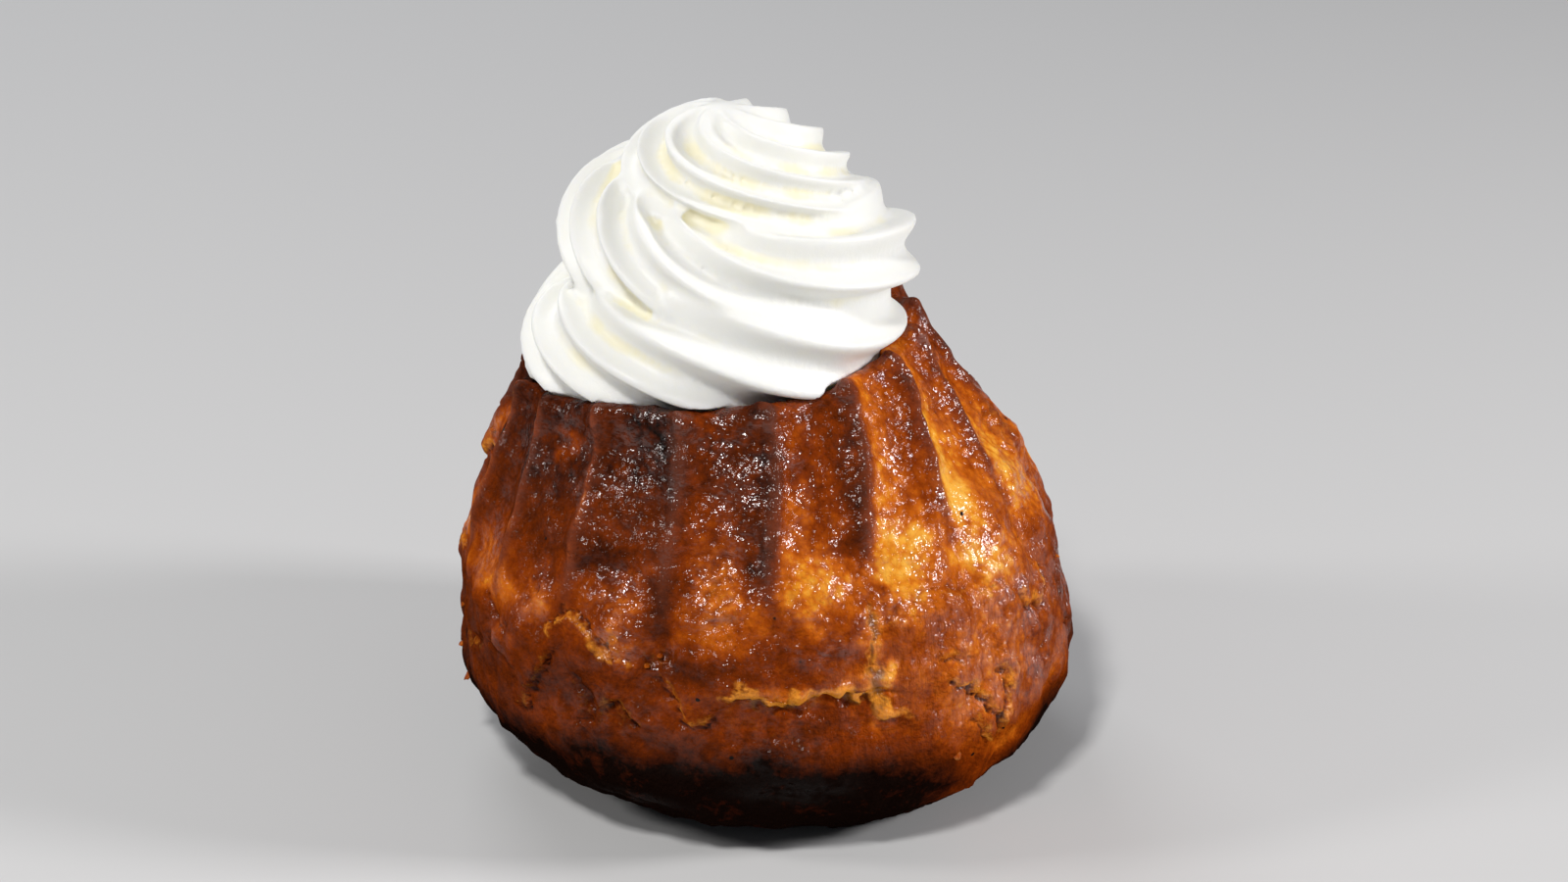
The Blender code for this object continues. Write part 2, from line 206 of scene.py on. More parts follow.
def make_object(mesh: bmesh.types.BMesh, name: str,
                attributes: dict[str, Array] | None = None) -> bpy.types.Object:
    """Turn a mesh into a smooth-shaded object in the scene.

    Args:
        mesh: The mesh, which is freed.
        name: Name of the object.
        attributes: Values to keep on the vertices, by name.

    Returns:
        The new object.
    """
    data = bpy.data.meshes.new(name)
    mesh.to_mesh(data)
    mesh.free()
    data.shade_smooth()
    for label, values in (attributes or {}).items():
        layer = data.attributes.new(label, 'FLOAT', 'POINT')
        layer.data.foreach_set("value", np.asarray(values, dtype=np.float32))
    shape = bpy.data.objects.new(name, data)
    bpy.context.scene.collection.objects.link(shape)
    return shape


def settle(shape: bpy.types.Object) -> None:
    """Make an object's modifiers part of its mesh."""
    graph = bpy.context.evaluated_depsgraph_get()
    data = bpy.data.meshes.new_from_object(shape.evaluated_get(graph))
    shape.modifiers.clear()
    shape.data = data


# --- shader reckoning ---------------------------------------------------------------------------

class Signal:
    """A varying number in a shader, which Python's operators reckon with."""

    def __init__(self, graph: "Graph", socket: bpy.types.NodeSocket) -> None:
        """Keep the graph and the socket that the number comes from."""
        self.graph = graph
        self.socket = socket

    def reckon(self, operation: str, first: Any, second: Any) -> "Signal":
        """Result of one Math node on two signals or numbers."""
        return self.graph.node(
            "ShaderNodeMath", {"operation": operation}, {0: first, 1: second}).out("Value")

    def __add__(self, other: Any) -> "Signal":
        """Sum."""
        return self.reckon('ADD', self, other)

    __radd__ = __add__

    def __sub__(self, other: Any) -> "Signal":
        """Difference."""
        return self.reckon('SUBTRACT', self, other)

    def __rsub__(self, other: Any) -> "Signal":
        """Difference from another."""
        return self.reckon('SUBTRACT', other, self)

    def __mul__(self, other: Any) -> "Signal":
        """Product."""
        return self.reckon('MULTIPLY', self, other)

    __rmul__ = __mul__

    def step(self, low: float, high: float) -> "Signal":
        """Rise smoothly from 0 at low to 1 at high.

        Args:
            low: Value at which the rise starts.
            high: Value at which it ends; for a fall it is below low.

        Returns:
            The share.
        """
        if low > high:
            return 1.0 - self.step(high, low)
        return self.graph.node("ShaderNodeMapRange", {"interpolation_type": 'SMOOTHSTEP'}, {
            "Value": self, "From Min": low, "From Max": high}).out("Result")


class Made:
    """A node that was made, with its outputs as signals."""

    def __init__(self, graph: "Graph", node: bpy.types.Node) -> None:
        """Keep the node and its graph."""
        self.graph = graph
        self.node = node

    def out(self, name: str) -> Signal:
        """The output of that name or identifier."""
        return Signal(self.graph, find_socket(self.node.outputs, name))


def find_socket(sockets: Any, name: Any) -> bpy.types.NodeSocket:
    """Find a socket by its place, its identifier or its name.

    Args:
        sockets: A node's inputs or outputs.
        name: The place, identifier or name.

    Returns:
        The socket.
    """
    if isinstance(name, int):
        return sockets[name]
    for socket in sockets:
        if socket.identifier == name:
            return socket
    return sockets[name]


class Graph:
    """A material's nodes, where each finer layer of a noise has the same share of the one before."""

    layer_share: float = 0.55

    def __init__(self, name: str) -> None:
        """Start a material with a lone Principled shader.

        Args:
            name: The material's name.
        """
        self.material = bpy.data.materials.new(name)
        self.material.use_nodes = True
        self.tree = self.material.node_tree
        self.surface = self.tree.nodes["Principled BSDF"]
        self.coordinates = self.node("ShaderNodeTexCoord", {}, {}).out("Object")

    def node(self, kind: str, settings: dict[str, Any], sockets: dict[Any, Any]) -> Made:
        """Add a node.

        Args:
            kind: The node's type.
            settings: Its properties, and the stops of a ramp as (place, colour) pairs.
            sockets: A value or a link for each input that isn't left as it is.

        Returns:
            The node.
        """
        node = self.tree.nodes.new(kind)
        for name, value in settings.items():
            if name == "stops":
                self.set_stops(node.color_ramp, value)
            else:
                setattr(node, name, value)
        for name, value in sockets.items():
            self.feed(find_socket(node.inputs, name), value)
        return Made(self, node)

    @staticmethod
    def set_stops(ramp: bpy.types.ColorRamp, stops: Stops) -> None:
        """Give a ramp its stops.

        Args:
            ramp: The ramp.
            stops: Place and colour of each.
        """
        while len(ramp.elements) > 1:
            ramp.elements.remove(ramp.elements[-1])
        ramp.elements[0].position = stops[0][0]
        ramp.elements[0].color = (*stops[0][1], 1.0)
        for place, colour in stops[1:]:
            ramp.elements.new(place).color = (*colour, 1.0)

    def feed(self, socket: bpy.types.NodeSocket, value: Any) -> None:
        """Link a signal to an input, or set the input's own value.

        Args:
            socket: The input.
            value: A signal, a number, a colour or a vector.
        """
        if isinstance(value, Signal):
            self.tree.links.new(value.socket, socket)
        elif socket.type == 'RGBA' and len(value) == 3:
            socket.default_value = (*value, 1.0)
        else:
            socket.default_value = value

    def finish(self, **sockets: Any) -> bpy.types.Material:
        """Feed the Principled shader, whose inputs are named with _ for a space.

        Args:
            sockets: A signal or a value for each.

        Returns:
            The material.
        """
        for name, value in sockets.items():
            self.feed(self.surface.inputs[name.replace("_", " ")], value)
        return self.material

    def finish_wet(self, share: Signal, wet: dict[str, Any], **sockets: Any) -> bpy.types.Material:
        """Feed the Principled shader and lay a second, wetter one over part of it.

        Args:
            share: How much of the wetter one shows.
            wet: What differs in the wetter one, for each input.
            sockets: A signal or a value for each input of both.

        Returns:
            The material.
        """
        self.finish(**sockets)
        both = {name.replace("_", " "): value for name, value in {**sockets, **wet}.items()}
        over = self.node("ShaderNodeBsdfPrincipled", {}, both)
        mixed = self.node("ShaderNodeMixShader", {}, {"Fac": share})
        output = self.tree.nodes["Material Output"]
        self.tree.links.new(self.surface.outputs["BSDF"], mixed.node.inputs[1])
        self.tree.links.new(over.node.outputs["BSDF"], mixed.node.inputs[2])
        self.tree.links.new(mixed.node.outputs["Shader"], output.inputs["Surface"])
        return self.material

    def attribute(self, name: str) -> Signal:
        """A number that is kept on the vertices."""
        return self.node("ShaderNodeAttribute", {"attribute_name": name}, {}).out("Fac")

    def mapped(self, scale: Triple, shift: Triple) -> Signal:
        """The piece's own coordinates, scaled and then moved."""
        return self.node("ShaderNodeMapping", {}, {
            "Vector": self.coordinates, "Scale": scale, "Location": shift}).out("Vector")

    def noise(self, size: float, detail: float = 2.0, stretch: Triple = (1.0, 1.0, 1.0),
              shift: float = 0.0) -> Signal:
        """Smooth noise from 0 to 1.

        Args:
            size: Length of its lumps, in metres.
            detail: How many finer layers it has.
            stretch: How much longer the lumps are along each axis.
            shift: Moves the pattern.

        Returns:
            The noise.
        """
        scale = tuple(1.0 / (size * longer) for longer in stretch)
        place = self.mapped(scale, (shift, 1.7 * shift, -shift))
        return self.node("ShaderNodeTexNoise", {}, {
            "Vector": place, "Scale": 1.0, "Detail": detail, "Roughness": self.layer_share}).out("Fac")

    def uneven(self, size: float, detail: float = 2.0, **options: Any) -> Signal:
        """Smooth noise from -0.5 to 0.5."""
        return self.noise(size, detail, **options) - 0.5

    def cells(self, size: float, shift: float) -> Signal:
        """Distance from the nearest of scattered points, as a share of their size, the spacing."""
        place = self.mapped((1.0 / size,) * 3, (shift, -shift, 2.0 * shift))
        return self.node("ShaderNodeTexVoronoi", {"feature": 'F1'}, {
            "Vector": place, "Scale": 1.0}).out("Distance")

    def ramp(self, place: Signal, stops: Stops) -> Signal:
        """Colour at a place from 0 to 1 on a ramp."""
        return self.node("ShaderNodeValToRGB", {"stops": stops}, {"Fac": place}).out("Color")

    def blend(self, share: Any, first: Any, second: Any) -> Signal:
        """Mix of two colours, with a share from 0 to 1 of the second."""
        settings = {"data_type": 'RGBA', "blend_type": 'MIX', "clamp_factor": True}
        return self.node("ShaderNodeMix", settings, {
            "Factor_Float": share, "A_Color": first, "B_Color": second}).out("Result_Color")

    def bump(self, height: Signal) -> Signal:
        """Normals of a fine relief, whose height is in millimetres."""
        return self.node("ShaderNodeBump", {}, {
            "Strength": 1.0, "Distance": MM, "Height": height}).out("Normal")


# --- finishes -----------------------------------------------------------------------------------

@dataclass(frozen=True)
class SoakedCrust:
    """Browned yeast crust, wet with syrup, whose browns run from yellow to nearly black."""

    name: str = "soaked_crust"
    browns: Stops = (
        (0.0, (0.90, 0.43, 0.055)), (0.14, (0.76, 0.265, 0.018)), (0.29, (0.56, 0.125, 0.007)),
        (0.44, (0.34, 0.060, 0.003)), (0.58, (0.205, 0.030, 0.002)), (0.73, (0.110, 0.017, 0.002)),
        (0.87, (0.048, 0.009, 0.003)), (1.0, (0.007, 0.003, 0.002)))
    crumb: Colour = (0.98, 0.36, 0.036)
    crumb_share: float = 0.85
    # Painted sheen: a purple brown blended onto the ridges' crests, standing in for the sheen on them.
    crest: Colour = (0.16, 0.050, 0.030)
    crest_sheen_share: float = 0.45
    # Painted shade: a dark brown laid along the cracks' deep lines and in the crumb's pores.
    cleft: Colour = (0.050, 0.009, 0.003)
    cleft_shade_share: float = 0.9
    speck: Colour = (0.010, 0.006, 0.005)
    speck_spacing: float = 6.5 * MM
    speck_edge: Pair = (0.052, 0.035)
    torn_edge: Pair = (0.22, 0.80)
    cleft_shade_edge: Pair = (0.15, 0.8)
    lumps: float = 0.38
    mottle: float = 0.30
    flecks: float = 0.22
    fibres: float = 0.14
    # Painted shade: how much browner the pits between the syrup beads are made.
    drops: float = 0.28
    drop_spacing: float = 1.05 * MM
    drop_middle: float = 0.42
    fibre_size: float = 0.55 * MM
    fibre_stretch: Triple = (1.0, 1.0, 4.5)
    roughness: float = 0.42
    wet_roughness: float = 0.15
    wet_specular: float = 0.9
    glow: float = 0.14
    glow_reach: Triple = (1.0, 0.6, 0.3)

    def colour(self, graph: Graph, browning: Signal) -> Signal:
        """Colour of the crust, its crumb and its specks, with a painted sheen on the ridges' crests and
        painted shade in the cracks and pores.

        Args:
            graph: The material's nodes.
            browning: How far each place is browned, from 0 to 1.

        Returns:
            The colour.
        """
        colour = graph.ramp(browning, self.browns)
        # Painted sheen on the ridges' crests.
        colour = graph.blend(graph.attribute("crest") * self.crest_sheen_share, colour, self.crest)
        torn = graph.attribute("torn") * (1.5 * graph.noise(0.7 * MM, 3.0, shift=9.0) + 0.10)
        colour = graph.blend(torn.step(*self.torn_edge) * self.crumb_share, colour, self.crumb)
        # Painted shade in the cracks and pores.
        cleft = graph.attribute("cleft").step(*self.cleft_shade_edge)
        colour = graph.blend(cleft * self.cleft_shade_share, colour, self.cleft)
        specks = graph.cells(self.speck_spacing, 4.0).step(*self.speck_edge)
        return graph.blend(specks, colour, self.speck)

    def material(self) -> bpy.types.Material:
        """Build the material.

        Returns:
            The material, which reads the values kept on the vertices.
        """
        graph = Graph(self.name)
        fibre, syrup = graph.attribute("fibre"), graph.attribute("wet")
        lumps = graph.uneven(5.0 * MM, 3.0)
        mottle = graph.uneven(1.7 * MM, 3.0, shift=3.0)
        fleck = graph.uneven(0.55 * MM, shift=5.0)
        fibres = graph.uneven(self.fibre_size, stretch=self.fibre_stretch, shift=2.0) * fibre
        drops = graph.cells(self.drop_spacing, 6.0)
        # The browning rises in the pits between the syrup beads, where their bump sinks: painted shade.
        browning = (graph.attribute("browning") + self.lumps * lumps + self.mottle * mottle
                    + self.flecks * fleck + self.fibres * fibres
                    + self.drops * syrup * (drops - self.drop_middle))
        skin = 0.42 * graph.noise(1.1 * MM, 3.0, shift=1.0) + 0.20 * graph.noise(0.45 * MM, 1.5, shift=7.0)
        height = skin * (1.0 + 0.5 * fibre) + 0.38 * fibres
        wrinkles = graph.noise(0.60 * MM, stretch=(1.7, 1.7, 0.8), shift=11.0)
        beads = (0.29 * graph.noise(0.98 * MM, 2.5, shift=1.0) - 0.18 * drops * drops
                 + 0.13 * wrinkles + 0.50 * fibres)
        patches = graph.noise(2.8 * MM, 3.0, shift=12.0).step(0.40, 0.60)
        rough = self.roughness + 0.20 * graph.attribute("torn") + 0.30 * mottle
        wet = {"Roughness": self.wet_roughness, "Normal": graph.bump(beads),
               "Specular_IOR_Level": self.wet_specular}
        return graph.finish_wet(
            syrup * (0.15 + 0.85 * patches), wet, Base_Color=self.colour(graph, browning),
            Roughness=rough, Normal=graph.bump(height), Subsurface_Weight=self.glow,
            Subsurface_Radius=self.glow_reach, Subsurface_Scale=MM, Specular_IOR_Level=0.0)


@dataclass(frozen=True)
class WhippedCream:
    """Smooth, fatty piped cream, with a painted warm shade of yellow in its creases."""

    name: str = "whipped_cream"
    white: Colour = (0.89, 0.892, 0.855)
    crease_shade_yellow: Colour = (0.90, 0.80, 0.36)
    crease_shade_share: float = 0.42
    roughness: float = 0.42
    specular: float = 0.4
    glow: float = 0.45
    glow_reach: Triple = (1.0, 0.94, 0.75)
    glow_scale: float = 1.6 * MM

    def material(self) -> bpy.types.Material:
        """Build the material.

        Returns:
            The material, which reads the vertices' crease value.
        """
        graph = Graph(self.name)
        patchy = graph.noise(9.0 * MM, shift=2.0)
        # Painted shade: the creases are tinted yellow, patchily, for the warm shade and inter-reflected light
        # in them.
        share = (graph.attribute("crease") * (2.6 * patchy - 0.75)).step(0.45, 1.20)
        colour = graph.blend(share * self.crease_shade_share, self.white, self.crease_shade_yellow)
        height = 0.030 * graph.noise(0.9 * MM) + 0.012 * graph.noise(0.25 * MM, 1.0, shift=3.0)
        rough = self.roughness + 0.12 * graph.uneven(3.0 * MM, shift=5.0)
        return graph.finish(
            Base_Color=colour, Roughness=rough, Normal=graph.bump(height), Subsurface_Weight=self.glow,
            Subsurface_Radius=self.glow_reach, Subsurface_Scale=self.glow_scale,
            Specular_IOR_Level=self.specular)


@dataclass(frozen=True)
class PaleFloor:
    """Plain matt floor of the studio."""

    name: str = "pale_floor"
    colour: Colour = (0.62, 0.62, 0.62)
    roughness: float = 0.7

    def material(self) -> bpy.types.Material:
        """Build the material."""
        return Graph(self.name).finish(Base_Color=self.colour, Roughness=self.roughness)


# --- the cake -----------------------------------------------------------------------------------

@dataclass(frozen=True)
class CakeForm:
    """The main form of the cake, with the same sizes as its solid in the frame.

    The ends are the places on the outline where its stretches meet, as shares of its seven parts. A
    bump gives its azimuth and height, its half width and half height, and how far it stands out, and
    a peak of the rim its azimuth, its half width in degrees and its height; lengths there are in mm.
    """

    foot_radius: float = 19.0 * MM
    belly_radius: float = 37.3 * MM
    belly_height: float = 17.0 * MM
    shoulder_arc: float = 40.4 * MM
    cone_angle: float = 27.8
    rim_height: float = 52.5 * MM
    rim_round: float = 1.4 * MM
    dish_depth: float = 2.6 * MM
    dish_flat: float = 0.86
    base_shift: float = 3.2 * MM
    lean_shift: float = 7.3 * MM
    lean_bow: float = 1.2 * MM
    rim_tilt: float = 8.4
    ends: tuple[float, ...] = (0.08, 0.30, 0.56, 0.80, 0.88, 0.93)
    wall_end: float = 0.06
    rim_from: Pair = (-0.02, 0.03)
    rim_until: Pair = (0.02, -0.03)
    flutes: int = 17
    flute_depth: float = 1.7 * MM
    ridge_share: float = 0.45
    flute_end: float = 33.5 * MM
    flute_end_fall: float = 2.6 * MM
    flute_fade: float = 6.0 * MM
    flute_skew: float = 13.0
    skew_middle: float = -50.0
    flare: float = 1.1 * MM
    flare_reach: float = 8.0 * MM
    flare_low: float = 18.5 * MM
    flare_high: float = 29.0 * MM
    lip_height: float = 23.6 * MM
    lip_fall: float = 8.0 * MM
    lip_wave: float = 0.9 * MM
    lip_waves: int = 9
    lip_middle: float = -79.0
    lip_spread: float = 21.0
    lip_step: float = 1.0 * MM
    lip_soft: float = 0.45 * MM
    lip_fade: float = 3.4 * MM
    wave_size: float = 17.0 * MM
    wave_height: float = 0.7 * MM
    bumps: Table = (
        (176.0, 9.5, 17.0, 6.5, 2.1), (-176.0, 27.0, 14.0, 5.0, -0.6), (160.0, 43.5, 6.0, 4.2, 2.2),
        (2.0, 36.5, 4.0, 2.6, 1.0), (-63.0, 29.0, 6.0, 3.5, 0.7), (-128.0, 27.5, 6.0, 3.5, 0.6),
        (98.0, 30.5, 7.0, 4.5, 0.9))
    rim_ridge: float = 0.7 * MM
    rim_peaks: tuple[Triple, ...] = (
        (158.0, 13.0, 3.0), (18.0, 34.0, 1.7), (88.0, 18.0, 1.0), (-128.0, 58.0, 1.8))

    def outline(self, share: Array) -> tuple[Array, Array]:
        """Radius and height on the plain turned outline.

        Args:
            share: Place on the outline, from the base's middle to the top's.

        Returns:
            The radii and the heights.
        """
        cone = math.radians(self.cone_angle)
        arc_centre = self.belly_radius - self.shoulder_arc
        arc_radius = arc_centre + self.shoulder_arc * math.cos(cone)
        arc_height = self.belly_height + self.shoulder_arc * math.sin(cone)
        rim_low = self.rim_height - self.rim_round
        rim_radius = arc_radius - (rim_low - arc_height) * math.tan(cone)
        inner = rim_radius - 2.0 * self.rim_round
        floor = self.rim_height - self.dish_depth
        edges = (0.0, *self.ends, 1.0)
        part = [np.clip((share - low) / (high - low), 0.0, 1.0) for low, high in zip(edges, edges[1:])]
        dome, arc, lip = part[1] * 0.5 * math.pi, part[2] * cone, part[4] * math.pi
        radii = (self.foot_radius * part[0],
                 self.foot_radius + (self.belly_radius - self.foot_radius) * np.sin(dome),
                 arc_centre + self.shoulder_arc * np.cos(arc),
                 mix(arc_radius, rim_radius, part[3]),
                 rim_radius - self.rim_round * (1.0 - np.cos(lip)),
                 inner * mix(1.0, self.dish_flat, part[5]),
                 inner * self.dish_flat * (1.0 - part[6]))
        heights = (0.0 * share,
                   self.belly_height * (1.0 - np.cos(dome)),
                   self.belly_height + self.shoulder_arc * np.sin(arc),
                   mix(arc_height, rim_low, part[3]),
                   rim_low + self.rim_round * np.sin(lip),
                   mix(rim_low, floor, part[5]),
                   floor + 0.0 * share)
        stretch = np.searchsorted(np.array(self.ends), share, side="right")
        return np.choose(stretch, radii), np.choose(stretch, heights)

    def scoop(self, azimuth: Array) -> Array:
        """0 on a ridge's crest and 1 in the middle of the scoop between two ridges."""
        return 1.0 - (1.0 - 2.0 * from_nearest(azimuth, self.flutes)) ** 2

    def from_crest(self, azimuth: Array) -> Array:
        """Degrees from the nearest ridge's crest."""
        return from_nearest(azimuth, self.flutes) * TURN / self.flutes

    def fluted(self, azimuth: Array, height: Array) -> Array:
        """1 where the flutes are whole, 0 below their ends."""
        end = self.ridge_end(azimuth)
        return smooth_step(end - 0.5 * self.flute_fade, end + self.flute_fade, height)

    def ridge_end(self, azimuth: Array) -> Array:
        """Height at which the ridges run out."""
        return self.flute_end + self.flute_end_fall * np.cos(np.radians(azimuth))

    def lip(self, azimuth: Array) -> Array:
        """Height of the burst crust's edge."""
        fall = self.lip_fall * np.sin(np.radians(azimuth - self.lip_middle))
        return self.lip_height - fall + self.lip_wave * np.sin(np.radians(self.lip_waves * azimuth))

    def relief(self, azimuth: Array, height: Array) -> Array:
        """How far the outer wall stands out from the plain outline.

        Args:
            azimuth: In degrees.
            height: Height on the upright outline.

        Returns:
            The relief in metres.
        """
        scoop = self.scoop(azimuth)
        end = self.ridge_end(azimuth)
        relief = self.fluted(azimuth, height) * self.flute_depth * (self.ridge_share - scoop)
        relief += (self.flare * scoop * smooth_step(end + self.flare_reach, end, height)
                   * smooth_step(self.flare_low, self.flare_high, height))
        lip = self.lip(azimuth)
        away = angle_between(azimuth, self.lip_middle)
        burst = smooth_step(self.lip_spread, 0.4 * self.lip_spread, away)
        under = smooth_step(lip + self.lip_soft, lip - self.lip_soft, height)
        relief -= (self.lip_step * burst * under
                   * smooth_step(lip - 3.0 * self.lip_fade, lip - self.lip_fade, height))
        for middle, level, half_width, half_height, rise in self.bumps:
            across = np.radians(angle_between(azimuth, middle)) * self.belly_radius / (half_width * MM)
            along = (height - level * MM) / (half_height * MM)
            relief += rise * MM * np.exp(-(across ** 2 + along ** 2))
        return relief

    def rim_rise(self, azimuth: Array) -> Array:
        """How far the thin rim stands above its plain height."""
        rise = self.rim_ridge * (1.0 - self.scoop(azimuth))
        for peak, half_width, height in self.rim_peaks:
            rise = rise + height * MM * smooth_step(half_width, 0.0, angle_between(azimuth, peak))
        return rise

    def lean(self, radius: Array, azimuth: Array, height: Array) -> Array:
        """Put points of the upright cake on the leaning one.

        Args:
            radius: Distance from the upright axis.
            azimuth: In degrees.
            height: Height on the upright cake.

        Returns:
            One row for each point.
        """
        share = height / self.rim_height
        tilt = np.radians(self.rim_tilt) * share
        turn = np.radians(azimuth)
        across = radius * np.cos(turn)
        middle = self.base_shift - self.lean_shift * share - self.lean_bow * share ** 2
        return np.stack((middle + across * np.cos(tilt) - CENTRE_X,
                         radius * np.sin(turn) - CENTRE_Y,
                         height + across * np.sin(tilt)), axis=1)

    def points(self, azimuth: Array, share: Array) -> Array:
        """Points of the cake's surface.

        Args:
            azimuth: In degrees.
            share: Place on the outline, from the base's middle to the top's.

        Returns:
            One row for each point.
        """
        radius, height = self.outline(share)
        base_end, dome_end, _, cone_end, rim_end, _ = self.ends
        on_wall = (smooth_step(base_end, dome_end, share)
                   * smooth_step(rim_end, cone_end + self.wall_end, share))
        on_rim = (smooth_step(*(cone_end + edge for edge in self.rim_from), share)
                  * smooth_step(*(rim_end + edge for edge in self.rim_until), share))
        turn = np.radians(azimuth)
        upright = np.stack((radius * np.cos(turn), radius * np.sin(turn), height), axis=1)
        swelling = self.wave_height * grain(upright, self.wave_size, 0.0)
        relief = on_wall * (self.relief(azimuth, height) + swelling)
        skewed = facing(azimuth, self.skew_middle) ** 3
        skew = self.flute_skew * smooth_step(self.flute_end, self.rim_height, height) * skewed
        return self.lean(radius + relief, azimuth + skew, height + on_rim * self.rim_rise(azimuth))


class Side(Enum):
    """Which side of a tear stands out over the other."""

    NEITHER = 0
    ABOVE = 1
    BELOW = -1


@dataclass(frozen=True)
class Tear:
    """A crack or torn edge in the crust, along a path of azimuths in degrees and heights in mm.

    Its width, depth and ledge are in millimetres, and pale, ragged and ends are shares: how much crumb
    shows, how uneven the path is, and over how much of it the tear fades at each end.
    """

    path: tuple[Pair, ...]
    width: float = 0.55
    depth: float = 0.55
    ledge: float = 0.35
    side: Side = Side.ABOVE
    pale: float = 0.7
    ragged: float = 0.7
    ends: float = 0.12

    def reach(self, azimuth: Array, height: Array, scale: float) -> tuple[Array, Array]:
        """Distance of places on the crust from the tear.

        Args:
            azimuth: In degrees.
            height: In millimetres.
            scale: Millimetres round the cake for one degree.

        Returns:
            The signed distance in millimetres, positive above the path, and 1 along the path
            falling to 0 beyond its ends.
        """
        nearest, signed = np.full((2, *azimuth.shape), np.inf)
        whole = np.zeros(azimuth.shape)
        count = len(self.path) - 1
        for index, (start, end) in enumerate(zip(self.path, self.path[1:])):
            across = wrap(azimuth - start[0]) * scale
            along = height - start[1]
            run, rise = (end[0] - start[0]) * scale, end[1] - start[1]
            length = math.hypot(run, rise)
            share = np.clip((across * run + along * rise) / length ** 2, 0.0, 1.0)
            away = np.hypot(across - share * run, along - share * rise)
            closer = away < nearest
            nearest = np.where(closer, away, nearest)
            signed = np.where(closer, np.where(run * along - rise * across > 0.0, away, -away), signed)
            place = (index + share) / count
            within = smooth_step(0.0, self.ends, place) * smooth_step(1.0, 1.0 - self.ends, place)
            whole = np.where(closer, within, whole)
        return signed, whole


@dataclass(frozen=True)
class Flake:
    """A scale of crust or a crumb that stands off the cake, its place in degrees and mm.

    It is as large as its size in millimetres and as thick as the flat share of that.
    """

    azimuth: float
    height: float
    size: float
    flat: float = 0.3
    tilt: float = 35.0


class Skin(Enum):
    """What a blotch makes of the crust's skin."""

    GRAINY = "grainy"
    CRUMBLY = "crumbly"


@dataclass(frozen=True)
class Blotch:
    """A place where the crust differs from that round it, its place in degrees and mm.

    It is browner by one share, and its skin is grainy or shows the crumb by two others.
    """

    azimuth: float
    height: float
    half_width: float
    half_height: float
    brown: float
    grainy: float = 0.0
    crumbly: float = 0.0

    def share(self, azimuth: Array, height: Array) -> Array:
        """How much of the blotch is at each place.

        Args:
            azimuth: In degrees.
            height: In millimetres.

        Returns:
            1 in its middle, falling to 0 outside.
        """
        across = wrap(azimuth - self.azimuth) / self.half_width
        along = (height - self.height) / self.half_height
        return np.exp(-(across ** 2 + along ** 2) ** 1.25)


